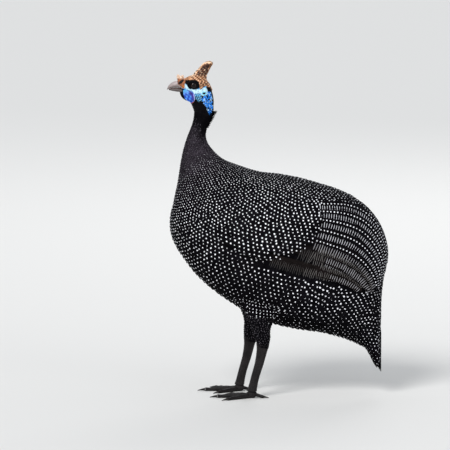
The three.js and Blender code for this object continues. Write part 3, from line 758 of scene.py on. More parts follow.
# Flight feathers: strips across the folded wing, placed from 0 at its upper edge to 1 at its lower one.
STRIPS = 7
STRIP_ROOT = 4.1
STRIP_HALF = 13.2
LAST_HALF = 9.0
STRIP_STEP = 1.05
STRIP_AT = [0, 0.3, 0.5, 0.8, 1]
STRIP_TIPS = [10.6, 11.4, 11.6, 10.9, 9.8]
STRIP_UPPER = 12
STRIP_LOWER = 87
BEND_AT = [0, 0.31, 0.455, 0.78, 0.9, 1]
BEND_SLOPES = [15, 10.3, 8.2, 4.8, 4.8, 6.4]
BEND_SOFT = 0.45
USUAL_PITCH = 15.0
FLIGHT_LIFT_AT = [4.1, 5.0, 6.0, 7.5, 9.5, 11.3]
FLIGHT_LIFTS = [1.6, 4.6, 4.2, 3.4, 3.6, 6.2]
FLIGHT_THICK = 0.45
COVERT_ROOT = 3.3
COVERT_HALF = 8.5
COVERT_AT = [0, 0.07, 0.21, 0.36, 0.5, 0.64, 0.79, 0.93, 1]
COVERT_TIPS = [4.8, 4.9, 5.2, 5.7, 6.0, 6.3, 6.3, 5.8, 5.6]
COVERT_LIFT_AT = [3.2, 3.9, 4.6, 5.4, 6.2]
COVERT_LIFTS = [2.6, 6.2, 7.4, 7.4, 7.0]
LARGE_VANE_V = np.array([-1, -0.5, 0, 0.5, 1])
VANE_ARCH = 0.35
SHAFT_RISE = 0.25


def strip_place(index):
    return (index + 0.5) / STRIPS


def strip_tip(strip):
    """The station of the body where the flight feather of a strip ends."""
    return np.interp(strip, STRIP_AT, STRIP_TIPS)


def covert_tip(strip):
    """The station of the body where the coverts over a strip end."""
    return np.interp(strip, COVERT_AT, COVERT_TIPS)


def strip_angle(body, strip):
    """The angle of a strip's middle at a station: it runs level from the shoulder, then turns down."""
    middle = STRIP_UPPER + (STRIP_LOWER - STRIP_UPPER) * strip
    ahead = 6.6 + 2.4 * strip - body
    front = np.interp(strip, BEND_AT, BEND_SLOPES) * BEND_SOFT * np.logaddexp(0, ahead / BEND_SOFT)
    return np.radians(middle + front)


def strip_pitch(body):
    """Millimetres between the middles of neighbouring strips at a station."""
    first, second = strip_angle(body, 0.45), strip_angle(body, 0.55)
    _, per_radian = BIRD.metric(body + BODY_AT, (first + second) / 2)
    return np.abs(second - first) * per_radian / 0.1 / STRIPS


def add_vane(coat, outer, inner, tones, station, angle):
    """One large feather, with its root at a place on the trunk."""
    coat.append((outer[None], inner[None], tones[None], BIRD.unwrap(station, angle)[None]))


def lay_vane(coat, side, strip, root, tip, half, lift_at, lifts, tones, rows=15):
    """One flight feather or large covert along its strip; its lower edge stands over the next one."""
    u = np.linspace(0, 1, rows)[:, None] ** 0.92
    body = root + (tip - root) * u
    width = half * np.interp(u, [0, 0.2, 0.7, 0.88, 0.96, 1], [0.3, 0.95, 1, 0.8, 0.5, 0.16])
    middle = strip_angle(body, strip)
    _, per_radian = BIRD.metric(body + BODY_AT, middle)
    angles = middle + LARGE_VANE_V * (width / per_radian)
    rise = STRIP_STEP / strip_pitch(body) * LARGE_VANE_V * width
    lift = np.interp(body, lift_at, lifts) + rise - VANE_ARCH * LARGE_VANE_V**2
    lift = lift + SHAFT_RISE * (LARGE_VANE_V == 0)
    outer = BIRD.at(body + BODY_AT, side * angles, lift)
    inner = BIRD.at(body + BODY_AT, side * angles, lift - FLIGHT_THICK)
    add_vane(coat, outer, inner, tones, root + BODY_AT, side * middle[0, 0])


def wing_coat(coat):
    for side in (1, -1):
        for index in range(STRIPS):
            strip = strip_place(index)
            brown = WING_BROWN * rng.uniform(0.8, 1.1)
            low = ease(0.55, 0.95, strip)
            tones = CHARCOAL * 0.8 * (1 - low) + brown * low
            root = STRIP_ROOT + 0.9 * low
            half = STRIP_HALF if index < STRIPS - 1 else LAST_HALF
            lay_vane(coat, side, strip, root, strip_tip(strip), half, FLIGHT_LIFT_AT, FLIGHT_LIFTS, tones)
        for index in range(2 * STRIPS - 1):
            strip = (index + 1) / (2 * STRIPS)
            tones = CHARCOAL * rng.uniform(0.6, 1.0)
            places = (side, strip, COVERT_ROOT, covert_tip(strip), COVERT_HALF)
            lay_vane(coat, *places, COVERT_LIFT_AT, COVERT_LIFTS, tones, rows=9)


# Tail feathers: a hanging stack, each pair a step further in than the one over it.
RECTRIX_PAIRS = 6
RECTRIX_HALF = 9.5
RECTRIX_BACK = 170.4
RECTRIX_TOP = 113
RECTRIX_TIP = 34
RECTRIX_THICK = 0.4


def tail_coat(coat):
    u = np.linspace(0, 1, 12)[:, None]
    v = np.linspace(-1, 1, 5)[None]
    width = RECTRIX_HALF * np.interp(u, [0, 0.25, 0.75, 0.9, 0.97, 1], [0.4, 0.9, 1, 0.8, 0.5, 0.2])
    sink = 5.5 * np.maximum(0, 1 - u / 0.3) ** 2
    for pair in range(RECTRIX_PAIRS + 1):
        tip = RECTRIX_TIP + 1.4 * pair + 0.38 * pair**2
        z = (RECTRIX_TOP - 3 * pair) * (1 - u) + tip * u + 0 * v
        for side in (-1, 1) if pair else (1,):
            middle = 2.3 * pair * (0.7 + 0.3 * u)
            out = np.maximum(middle + v * width, 0.3) if pair else v * width
            x = RECTRIX_BACK - 1.2 * pair - 0.012 * out**2 - sink + 0.2 * (v == 0)
            outer = np.stack([x, side * out, z], axis=-1)
            inner = outer - (RECTRIX_THICK, 0, 0)
            add_vane(coat, outer, inner, CHARCOAL * 0.75, TAIL_AT + 1.0, 0.1 * pair * side)


# Skin: the trunk inside the coat, with the bare head at its full size, and the shanks joined to it.
SKIN_STATIONS = [0, NECK_AT - 1.2, NECK_AT + 1.5, BODY_AT, BODY_AT + 3, len(TRUNK) - 2.5]
SKIN_DEPTH = [0, 0, -1.4, -2.4, -3.2, -3.2]
SKIN_SIDES = 132
BARE_END = NECK_AT + 0.5
# Black of the bare skin; the same black also paints shade in the fold below the ear and in spots on the
# cheek.
BLACK_SKIN_AND_SHADE = np.array((0.0028, 0.0025, 0.0034))
PALE_CYAN = np.array((0.58, 0.85, 0.97))
MID_BLUE = np.array((0.05, 0.34, 0.72))
BRIGHT_BLUE = np.array((0.01, 0.17, 0.62))
TEAL = np.array((0.015, 0.12, 0.17))
LORE_ORANGE = np.array((0.50, 0.17, 0.045))
# Painted shade inside the opening of the ear.
EAR_HOLE_SHADE = np.array((0.03, 0.008, 0.008))
EAR = (-88.2, 444.5)
# A black lobe that hangs under the chin.
CHIN_RIBS = [
    (-122.4, 450, -113, 451, 3.4),
    (-123.6, 446.6, -112, 447, 4.4),
    (-122.8, 441.6, -110, 443, 4.8),
    (-119.8, 436.6, -107, 440, 4.6),
    (-114.6, 432.8, -104, 436, 3.4),
]
# The pale band under the eye, and the almond of black skin round the eye.
BAND_X = [-118, -115, -112, -107.7, -102, -96.6, -90, -83.3]
BAND_Z = [457, 454.5, 451.4, 448.4, 447.2, 447.6, 449.6, 450.2]
PATCH_X = [-118.6, -115, -112, -109, -104.8, -100.3, -97.5, -95, -93.2]
PATCH_TOP = [461.2, 463.4, 465, 466, 466.8, 466.4, 465.7, 463, 460]
PATCH_LOW = [460.2, 458, 455.2, 452.2, 450.2, 450.4, 451.2, 452.8, 456]
# The edges of the blue face towards the black throat and the black nape.
THROAT_X = [-120, -112, -103, -99, -95, -90, -86, -83.5, -81, -77]
THROAT_Z = [440, 438, 438, 434, 433.5, 432, 428, 421, 414, 411]
NAPE_X = [-77.6, -78, -78.2, -82, -85]
NAPE_Z = [405, 420, 432, 446, 452]


def throat_line(x):
    """Height of the edge between the blue face and the black throat."""
    return np.interp(x, THROAT_X, THROAT_Z)


def head_tones(points):
    """Tones of the bare head and upper neck, with painted highlights and painted shade on the cheek."""
    x, y, z = points[:, 0], np.abs(points[:, 1]), points[:, 2]
    wave = 0.8 * np.sin(x * 0.9) + 0.7 * np.sin(z * 1.3 + x * 0.4)
    streaks = 0.62 + 0.38 * np.sin(x * 1.5 - z * 1.1 + wave)
    teal = ease(445.5, 440, z + 1.4 * wave) * ease(-107, -103, x) * ease(-89, -95, x + wave)
    # A wave over the cheek: where it is high the skin is painted pale cyan as painted highlights, and where
    # it is low black as painted shade.
    highlight_and_shade = np.sin(x * 1.5 + z * 0.8) * np.sin(z * 1.7 - x * 0.6 + 0.9)
    cheek = ease(-104, -101, x) * ease(447, 444, z) * ease(430, 435, z)
    ear = np.hypot((x - EAR[0]) / 1.15, z - EAR[1])
    # A painted shadow in the fold of skin below the ear.
    shaded_fold = np.hypot((x + 89.8) / 1.5, z - 439.2)
    in_patch = np.minimum(np.interp(x, PATCH_X, PATCH_TOP) - z, z - np.interp(x, PATCH_X, PATCH_LOW))
    return layered(
        points,
        MID_BLUE,
        (TEAL, teal * streaks),
        # painted highlights on the cheek
        (PALE_CYAN, 0.85 * cheek * ease(0.3, 0.75, highlight_and_shade)),
        # painted shade on the cheek
        (BLACK_SKIN_AND_SHADE, 0.8 * cheek * ease(-0.45, -0.85, highlight_and_shade)),
        (BRIGHT_BLUE, ease(-91, -86, x + wave) * ease(447, 441, z)),
        (PALE_CYAN, ease(4.2, 2.2, np.abs(z - np.interp(x, BAND_X, BAND_Z) + 0.4 * wave))),
        (PALE_CYAN, ease(5.0, 3.8, ear)),
        # painted shade in the ear opening
        (EAR_HOLE_SHADE, ease(2.3, 1.6, ear)),
        # painted shadow in the fold below the ear
        (BLACK_SKIN_AND_SHADE, 0.85 * ease(2.2, 1.2, shaded_fold)),
        (BLACK_SKIN_AND_SHADE, ease(0.8, -0.8, z + wave * 0.8 - throat_line(x))),
        (BLACK_SKIN_AND_SHADE, ease(-116.2, -118.2, x) * ease(451.5, 449.5, z)),
        (BLACK_SKIN_AND_SHADE, ease(-0.8, 0.8, x - np.interp(z, NAPE_Z, NAPE_X) + 0.4 * wave)),
        (BLACK_SKIN_AND_SHADE, ease(6.0, 4.0, y)),
        (LORE_ORANGE, ease(-115.2, -117.4, x) * ease(450.6, 452, z)),
        (BLACK_SKIN_AND_SHADE, ease(-0.5, 0.6, in_patch) * (x > PATCH_X[0]) * (x < PATCH_X[-1])),
    )


def form_loft(form, stations, sides, lifts):
    """A form as a closed loft, and the unwrap places of its points."""
    station, angle = ring_grid(stations, sides)
    shape = loft(form.at(station, angle, lifts[:, None]))
    ends = form.unwrap(stations[[0, -1]], np.zeros(2))
    return shape, np.vstack([form.unwrap(station, angle).reshape(-1, 2), ends])


def skin():
    """The whole bird's skin in one piece."""
    stations = np.concatenate([
        np.linspace(0.02, BARE_END, 120),
        np.linspace(NECK_AT + 0.6, BODY_AT, 34),
        np.linspace(BODY_AT + 0.15, BIRD.end - 1.5, 70),
    ])
    trunk, uvs = form_loft(BIRD, stations, SKIN_SIDES, np.interp(stations, SKIN_STATIONS, SKIN_DEPTH))
    below = np.append(np.repeat(stations, SKIN_SIDES), [0, BIRD.end]) > BARE_END
    parts = [(trunk, uvs, np.where(below[:, None], JET, head_tones(trunk[0])))]
    for form in SHANKS:
        stations = np.linspace(0, form.end, 24)
        shank, uvs = form_loft(form, stations, 28, np.interp(stations, [0, 0.8, form.end], [-11, -3, -0.6]))
        parts.append((shank, uvs, layered(shank[0], JET)))
    chin = ribbed(CHIN_RIBS, 24, 20)
    chin_uvs = np.tile(BIRD.unwrap(0.5, math.pi), (len(chin[0]), 1))
    parts.append((chin, chin_uvs, layered(chin[0], BLACK_SKIN_AND_SHADE)))
    shapes, all_uvs, tones = zip(*parts)
    nodes = ("head", "neck_upper", "neck_lower", "torso", "rump", "left_shank", "right_shank")
    add_piece("skin", joined(shapes), SKIN, nodes, np.vstack(tones), np.vstack(all_uvs))


# Casque: its horn and a plate over the crown, grown together.
HORN_RIBS = [
    (-108, 461, -84, 456, 7),
    (-104.5, 470.3, -84.6, 465.5, 6.4),
    (-100.8, 475.2, -84, 470, 5.4),
    (-96.3, 479.8, -81.6, 475, 4.7),
    (-91.3, 485.8, -78.3, 481.3, 4.1),
    (-86, 489.3, -76, 485.2, 3.4),
    (-81.2, 490.6, -75.2, 487.6, 2.4),
    (-78.6, 490.2, -76.4, 489, 1),
]
CAP_EDGE_X = [-121, -119, -113, -107, -101, -96.4, -95, -94.4, -92.4, -90.6, -89.2, -85.5, -82, -74]
CAP_EDGE_Z = [464.5, 464.5, 463.2, 463.6, 464, 462, 458, 451.5, 448.4, 449.6, 453.6, 455, 452.8, 452]
CAP_THICK = 1.2
CAP_DEPTH = 1.6
HORN_TAN = (0.40, 0.165, 0.065)
HORN_DARK = (0.030, 0.008, 0.004)
HORN_CREAM = (0.82, 0.56, 0.37)
HORN_RUST = (0.50, 0.17, 0.03)
HORN_BROWN = (0.075, 0.018, 0.008)


def cap_plate():
    """The casque's cap: a plate over the crown down to its lower edge."""
    stations = np.linspace(0.1, 6.6, 60)[:, None]
    tries = np.linspace(0, math.pi, 241)
    rings = BIRD.at(stations, tries)
    under = rings[..., 2] < np.interp(rings[..., 0], CAP_EDGE_X, CAP_EDGE_Z)
    half_widths = np.where(under.any(axis=1), tries[under.argmax(axis=1)], math.pi)
    v = np.linspace(-1, 1, 61)
    angles = np.maximum(half_widths, 0.05)[:, None] * v
    outer = BIRD.at(stations, angles, CAP_THICK * (0.35 + 0.65 * (1 - np.abs(v) ** 8)))
    inner = BIRD.at(stations, angles, -CAP_DEPTH)
    return np.vstack([outer.reshape(-1, 3), inner.reshape(-1, 3)]), shell_faces(len(stations), len(v))


def casque():
    points, faces = grown("casque_form", [cap_plate(), ribbed(HORN_RIBS)], 0.5, 6)
    points = wrinkled(points, 0.28, 0.9, seed=3)
    x, y, z = points.T
    from_front = x - np.interp(z, [466, 475, 480, 486, 491], [-106, -101, -96.5, -91.5, -84])
    from_rear = np.interp(z, [466, 475, 480, 486], [-80, -83, -80.5, -77.5]) - x
    mottle = 0.5 + 0.5 * np.sin(x * 2.1 + 1.3 * np.sin(z * 1.7)) * np.sin(z * 2.3 + y * 1.1)
    speckle = 0.5 + 0.5 * np.sin(x * 1.3 - z * 1.9 + 1.5) * np.sin(z * 1.4 + x * 1.6)
    blotch = np.sin(x * 1.2 + 1.2 * np.sin(z * 0.6) + 0.6) * np.sin(z * 1.1 - x * 0.35 + 0.4 * y)
    patch = ease(2.2, 5, from_front) * ease(467, 472, z) * ease(488.5, 484, z)
    patch = patch * (0.35 + 0.65 * ease(0, 3, from_rear))
    lower = ease(483, 477, z) * ease(-110, -105, x)
    base = ease(476, 468, z) * ease(-102, -97, x)
    tones = layered(
        points,
        HORN_TAN,
        (HORN_DARK, patch * (0.95 - 0.5 * ease(0.55, 0.85, mottle) * ease(480, 474, z))),
        (HORN_CREAM, ease(3.2, 1.2, from_front) * ease(466, 471, z)),
        (HORN_CREAM, 0.85 * ease(485.5, 488.5, z)),
        (HORN_CREAM, 0.55 * ease(0.6, 0.9, mottle) * ease(474, 466, z)),
        (HORN_DARK, 0.6 * ease(0.35, 0.1, speckle) * base),
        (HORN_RUST, 0.5 * ease(0.7, 0.95, speckle) * ease(470, 462, z)),
        (HORN_BROWN, 0.85 * lower * ease(-0.2, -0.5, blotch)),
        (HORN_CREAM, 0.65 * lower * ease(0.3, 0.6, blotch)),
    )
    add_piece("casque_horn", (points, faces), HORN, ["casque"], tones)


# Cere, with its knobs as x, y, z, radius and height, and the nostril as x, z and tilt.
CERE_RIBS = [
    (-127, 455.5, -126.6, 462.6, 5.9),
    (-124, 453.5, -123.2, 464, 7),
    (-120.5, 452.5, -119.5, 464.8, 7.9),
    (-116.5, 452.5, -115, 465.2, 8.8),
]
CARUNCLES = [
    (-125.2, 1.4, 465.8, 3.2, 4.4),
    (-125.9, -1.2, 467.2, 2.9, 4.2),
    (-121.6, -2, 466, 3, 3.4),
    (-119.6, 1.6, 466.6, 2.9, 3.7),
    (-123.2, 0.2, 465, 4, 3.2),
]
NOSTRIL = (-121.5, 460.6, math.radians(42))
NOSTRIL_LONG = 4.9
NOSTRIL_WIDE = 2.0
NOSTRIL_DEEP = 0.5


def cere():
    parts = [ribbed(CERE_RIBS, 20, 30)]
    for x, y, z, radius, height in CARUNCLES:
        parts.append(ellipsoid((x, y, z), (radius * 0.8, radius * 0.8, height)))
    points, faces = grown("cere_form", parts, 0.42, 4)
    points = wrinkled(points, 0.35, 1.1, seed=5)
    x, y, z = points.T
    away_x, away_z = x - NOSTRIL[0], z - NOSTRIL[1]
    lengthwise = away_x * math.cos(NOSTRIL[2]) + away_z * math.sin(NOSTRIL[2])
    across = -away_x * math.sin(NOSTRIL[2]) + away_z * math.cos(NOSTRIL[2])
    from_nostril = np.hypot(lengthwise / NOSTRIL_LONG, across / NOSTRIL_WIDE)
    # The nostril is painted near black as painted shade in its opening; it is also sunk a little below.
    nostril = ease(1.15, 0.85, from_nostril) * (np.abs(y) > 3)
    tones = layered(
        points,
        (0.36, 0.13, 0.055),
        ((0.84, 0.60, 0.44), ease(463.5, 466.5, z)),
        ((0.10, 0.03, 0.02), 0.7 * ease(-124.2, -125.8, x) * ease(463, 461, z)),
        (LORE_ORANGE, ease(457, 454, z)),
        # painted shade in the nostril
        ((0.003, 0.0025, 0.0025), nostril),
    )
    points = points - np.stack([0 * x, np.sign(y) * nostril * NOSTRIL_DEEP, 0 * x], axis=-1)
    add_piece("cere_skin", (points, faces), CERE, ["cere"], tones)


# Bill, with the heights of its cutting edges along x.
UPPER_RIBS = [
    (-120.8, 450.2, -120.5, 462, 6.3),
    (-126.5, 451.8, -126.5, 461.6, 5.5),
    (-131.5, 452, -131.5, 460.8, 4.6),
    (-136.5, 451.2, -136.4, 458.2, 3.4),
    (-140, 449.8, -139.8, 454.6, 2.1),
    (-142, 448.4, -141.6, 451.2, 0.9),
]
LOWER_RIBS = [
    (-119.5, 445.2, -119, 449.6, 5.9),
    (-127, 445.8, -126.6, 451.4, 4.8),
    (-132, 446.6, -131.8, 451.6, 3.9),
    (-137, 447.6, -136.8, 450.8, 2.6),
    (-139.6, 448.3, -139.4, 449.6, 1.3),
]
UPPER_EDGE = ([-142, -140, -136.5, -131.5, -126, -120], [448.6, 449.8, 451.2, 452, 451.8, 450.4])
LOWER_EDGE = ([-139.5, -136.8, -131.8, -126.6, -119], [449.4, 450.8, 451.6, 451.4, 449.6])
BILL_ROUND = 2.0
BILL_GREY = np.array((0.34, 0.28, 0.27))
BILL_PALE = (0.52, 0.45, 0.45)
BILL_BROWN = (0.075, 0.022, 0.012)


def bill():
    points, faces = ribbed(UPPER_RIBS, 50, 40, BILL_ROUND)
    x, _, z = points.T
    to_tip = np.interp(x, [-140, -134, -126], [1, 0.7, 0.3])
    tones = layered(
        points,
        BILL_GREY,
        (BILL_BROWN, ease(1.7, 0.7, z - np.interp(x, *UPPER_EDGE)) * to_tip),
        (BILL_PALE, ease(455, 459, z) * 0.6),
    )
    add_piece("bill_upper_horn", (points, faces), BILL, ["bill_upper"], tones)
    points, faces = ribbed(LOWER_RIBS, 40, 32, BILL_ROUND, 0.1)
    x, _, z = points.T
    tones = layered(points, BILL_GREY * 0.34, (BILL_BROWN, ease(-0.9, -0.3, z - np.interp(x, *LOWER_EDGE))))
    add_piece("bill_lower_horn", (points, faces), BILL, ["bill_lower"], tones)


# Wattles: flat lobes that hang from the gape, each rib with its distance from the middle.
WATTLE_RIBS = [
    (-118.4, 448.6, -112.2, 450, 1.5),
    (-118.4, 444.8, -106.8, 448.2, 1.9),
    (-117.2, 439.8, -103, 444.6, 1.9),
    (-114.4, 435.6, -102, 440.6, 1.7),
    (-109.8, 432.6, -101.8, 436.2, 1.4),
    (-105.9, 430.4, -103, 431.8, 0.9),
]
WATTLE_OUT = np.array([[10.6], [13.2], [15], [15.4], [14.6], [13.4]])


def wattles():
    station, angle = ring_grid(np.linspace(0, len(WATTLE_RIBS) - 1, 40), 40)
    place = np.append(station.ravel(), [0, len(WATTLE_RIBS) - 1])
    round_edge = np.append(np.cos(angle).ravel(), [0, 0])
    for side, name in SIDES:
        rings = on_ribs(np.array(WATTLE_RIBS, float), station, angle, 0.0, 2.4)
        fold = 0.9 * np.cos(angle * 2) + 0.5 * np.cos(angle)
        rings[..., 1] = (rib_values(WATTLE_OUT, station)[..., 0] + fold - rings[..., 1]) * side
        points, faces = loft(rings)
        if side > 0:
            faces = [face[::-1] for face in faces]
        points = wrinkled(points, 0.22, 0.8, seed=11)
        x, _, z = points.T
        streak = 0.5 + 0.5 * np.sin(x * 1.1 + z * 0.5) * np.sin(z * 0.8 + 1.0)
        tones = layered(
            points,
            (0.025, 0.11, 0.60),
            ((0.10, 0.34, 0.82), ease(0.55, 0.9, streak)),
            ((0.012, 0.03, 0.30), 0.8 * ease(0.4, 0.1, streak)),
            ((0.12, 0.46, 0.85), ease(1.5, 0.2, place)),
            ((0.05, 0.025, 0.22), ease(0.15, 0.5, round_edge) * ease(0.85, 0.6, round_edge)),
            ((0.66, 0.62, 0.92), ease(0.74, 0.94, round_edge) * ease(1.6, 2.6, place)),
            ((0.50, 0.10, 0.04), ease(4.6, 4.9, place)),
        )
        add_piece(f"{name}_wattle_skin", (points, faces), WATTLE, [f"{name}_wattle"], tones)


# Eyes, lids and the rims of the ears.
IRIS = (0.016, 0.006, 0.004)
PUPIL = (0.0015, 0.0015, 0.0015)
EYE_EDGE = (0.003, 0.003, 0.004)
EAR_CYAN = (0.26, 0.72, 0.90)


def eyes():
    for side, name in SIDES:
        eyeball = ellipsoid((EYE[0], side * EYE[1], EYE[2]), (EYE_RADIUS,) * 3, 40, 48)
        x, _, z = eyeball[0].T
        around = np.hypot(x - EYE[0], z - EYE[2])
        pupil, edge = ease(2.5, 2.2, around), ease(3.9, 4.3, around)
        tones = layered(x, IRIS, (PUPIL, pupil), (EYE_EDGE, edge))
        add_piece(f"{name}_eyeball", eyeball, EYEBALL, [f"{name}_eye"], tones)
        points, faces = joined([
            torus((EYE[0] - 0.3, side * 13.9, EYE[2] + 0.1), (5.3, 4.3), 1.15),
            torus((EYE[0] - 0.8, side * 13.2, EYE[2] + 0.2), (7.4, 5.6), 0.9),
        ])
        points = wrinkled(points, 0.2, 1.2, seed=21)
        add_piece(f"{name}_lids", (points, faces), SKIN, tones=layered(points, BLACK_SKIN_AND_SHADE))


def ears():
    for side, name in SIDES:
        rim = torus((EAR[0], side * 14.2, EAR[1]), (2.9, 2.2), 0.75, 30, 8)
        add_piece(f"{name}_ear_rim", rim, SKIN, tones=layered(rim[0], EAR_CYAN))


# Warts and bristles.
WART_TRIES = 380
WART_SHADES = [0.0, 0.1, 0.35, 0.8]
WART_CHANCES = [0.35, 0.3, 0.2, 0.15]
BRISTLES = 270
BRISTLE_THICK = 0.5


def papillae():
    """Small warts down the side of the nape and cheek."""
    parts, tones = [], []
    draw = np.random.default_rng(seed=31)
    for side in (1, -1):
        for _ in range(WART_TRIES):
            station = draw.uniform(5.0, NECK_AT + 0.1)
            angle = draw.uniform(0.56, 1.6)
            place = BIRD.at(station, side * angle, 0.1)
            x, _, z = place
            near_ear = math.hypot(x - EAR[0], z - EAR[1]) < 4.4
            if z > 446 or z < throat_line(x) - 0.5 or x < -93 or near_ear:
                continue
            radius = draw.uniform(0.6, 1.35)
            part = ellipsoid(place, (radius, radius * 0.8, radius * draw.uniform(1, 1.5)), 6, 8)
            parts.append(part)
            shade = draw.choice(WART_SHADES, p=WART_CHANCES)
            colour = BRIGHT_BLUE * 1.4 * (1 - shade) + PALE_CYAN * shade
            if draw.uniform() < 0.3:
                colour = BLACK_SKIN_AND_SHADE * 2
            tones.append(layered(part[0], colour))
    add_piece("papillae", joined(parts), SKIN, tones=np.vstack(tones))


def bristle(root, out, length):
    """A thin tapered lock that bends upwards."""
    rings = []
    up = np.array((0, 0, 1.0))
    across = np.cross(out, up)
    turn = np.linspace(0, TURN, 5, endpoint=False)[:, None]
    for share in (-0.2, 0.15, 0.45, 0.75, 1.0):
        centre = root + out * length * share + up * (length * 0.2) * max(0, share) ** 2
        radius = BRISTLE_THICK * (1 - 0.8 * max(0, share))
        rings.append(centre + radius * (np.cos(turn) * across + np.sin(turn) * np.cross(across, out)))
    return loft(rings)


def nape_tuft():
    draw = np.random.default_rng(seed=41)
    parts, roots = [], []
    for _ in range(BRISTLES):
        share = draw.uniform(0, 1) ** 1.3
        station = NECK_AT + 0.05 + 1.8 * share
        angle = draw.normal(0, 0.34)
        out = unit(BIRD.normals(station, angle) + draw.normal(0, 0.18, 3))
        length = (7.4 - 3.6 * share) * draw.uniform(0.6, 1.1)
        parts.append(bristle(BIRD.at(station, angle, -1.0), out, length))
        roots.append(BIRD.unwrap(station, angle))
    points, faces = joined(parts)
    # Each bristle has 5 rings of 5 points and its two ends.
    patch = np.vstack([unwrap_patch(5, 5), (0, 0), (PATCH_WIDE, PATCH_WIDE)])
    uvs = (np.array(roots)[:, None] + patch).reshape(-1, 2)
    add_piece("nape_tuft", (points, faces), PLUMAGE, (), layered(points, JET), uvs)


# Marks: each is laid over the feathers by casting its points down on them.
MARK_SIDES = 8
MARK_POINTS = MARK_SIDES + 1
MARK_TURN = np.linspace(0, TURN, MARK_SIDES, endpoint=False)
MARK_ROUND = 0.85
MARK_FALL = 0.7
MIDDLE_LIFT = 0.32
RIM_LIFT = 0.14
CAST_REACH = 14.0


def cast(surface, points, normals):
    """How far over each point the surface lies along its normal, in millimetres."""
    height = np.full(len(points), np.nan)
    for index, (point, normal) in enumerate(zip(points, normals)):
        hit = surface.ray_cast(Vector(point + normal * CAST_REACH), Vector(-normal), CAST_REACH * 2)
        if hit[0] is not None:
            height[index] = CAST_REACH - hit[3]
    return height


class Marks:
    """Marks that lie on a surface, gathered by kind; each kind becomes one piece."""

    def __init__(self, surface):
        self.surface = surface
        self.found = {}

    def add(self, name, form, station, angle, along, across, heading=None):
        """Rounded marks on a form; along and across are half sizes in millimetres, heading their long way."""
        values = np.broadcast_arrays(station, angle, along, across)
        station, angle, along, across = (value[:, None] for value in values)
        ahead = unit(form.tangents(station, angle)[0] if heading is None else heading[:, None])
        beside = np.cross(form.normals(station, angle), ahead)
        rim_x = signed_power(np.cos(MARK_TURN), MARK_ROUND) * along
        rim_y = signed_power(np.sin(MARK_TURN), MARK_ROUND) * across
        step_s, step_a = form.steps(station, angle, rim_x[..., None] * ahead + rim_y[..., None] * beside)
        all_s = np.hstack([station, station + step_s])
        all_a = np.hstack([angle, angle + step_a])
        normals, places = form.normals(all_s, all_a), form.at(all_s, all_a)
        height = cast(self.surface, places.reshape(-1, 3), normals.reshape(-1, 3)).reshape(-1, MARK_POINTS)
        middle = height[:, :1]
        height = np.clip(np.where(np.isnan(height), middle, height), middle - MARK_FALL, middle + MARK_FALL)
        height = height + ([MIDDLE_LIFT] + [RIM_LIFT] * MARK_SIDES)
        good = ~np.isnan(middle[:, 0])
        found = (places + normals * height[..., None])[good]
        self.found.setdefault(name, []).append((found, form.unwrap(station[good], angle[good])))

    def pieces(self):
        fan = np.array([(0, 1 + k, 1 + (k + 1) % MARK_SIDES) for k in range(MARK_SIDES)])
        rim = 0.5 * PATCH_WIDE * np.stack([np.cos(MARK_TURN), np.sin(MARK_TURN)], axis=-1)
        for name, parts in self.found.items():
            points, roots = (np.concatenate(values) for values in zip(*parts))
            shape = (points.reshape(-1, 3), repeated(fan, len(points), MARK_POINTS))
            uvs = (roots + np.vstack([(0, 0), rim])).reshape(-1, 2)
            add_piece(name, shape, MARK_MATERIALS[name], uvs=uvs)


def pearl_spacing(station, angle):
    """Distance between the white dots: closest on the lower neck, widest low on the flank."""
    body = station - BODY_AT
    base = np.interp(body, [-3, -1, 0.5, 2, 5, 9, 12, 15], [3.3, 3.8, 4.5, 5.3, 6.4, 6.6, 6.2, 5.6])
    low = ease(60, 105, folded(angle)) * ease(2, 5, body) * (1 - ease(9, 13, body))
    return base * (1 + 0.18 * low)


def on_wing(body, angle):
    """Whether places on the trunk lie under the rows of marks of the wing."""
    top = np.degrees(strip_angle(body, 0.0)) - 1
    low = np.degrees(strip_angle(body, 1.0)) + 1
    strip = (folded(angle) - top) / (low - top)
    return (body > covert_tip(strip)) & (body < strip_tip(strip)) & (strip > 0.045) & (strip < 1)


def pearl_size(body, angle, from_grey):
    """Half size of the white dots as a share of their spacing."""
    share = np.interp(body, [-1, 1, 3, 9, 12, 15], [0.125, 0.14, 0.155, 0.148, 0.133, 0.122])
    share = share * np.interp(from_grey, [-1.8, 0.8], [0.6, 1.0])
    share = share * (1 - 0.25 * ease(45, 15, folded(angle)))
    # Painted shade: the dots are smaller low on the flank and on the belly towards the rear.
    return share * (1 - 0.4 * ease(95, 135, folded(angle)) * ease(3, 7, body))


PEARL_LEAST = 0.66
PEARL_LOOSE = 0.085
SHANK_PEARL_PITCH = 5.4
FLECK_PITCH = 2.3
FLECK_LOOSE = 0.5
SHANK_FLECK_PITCH = 3.9
SHANK_FLECK_LOOSE = 0.6


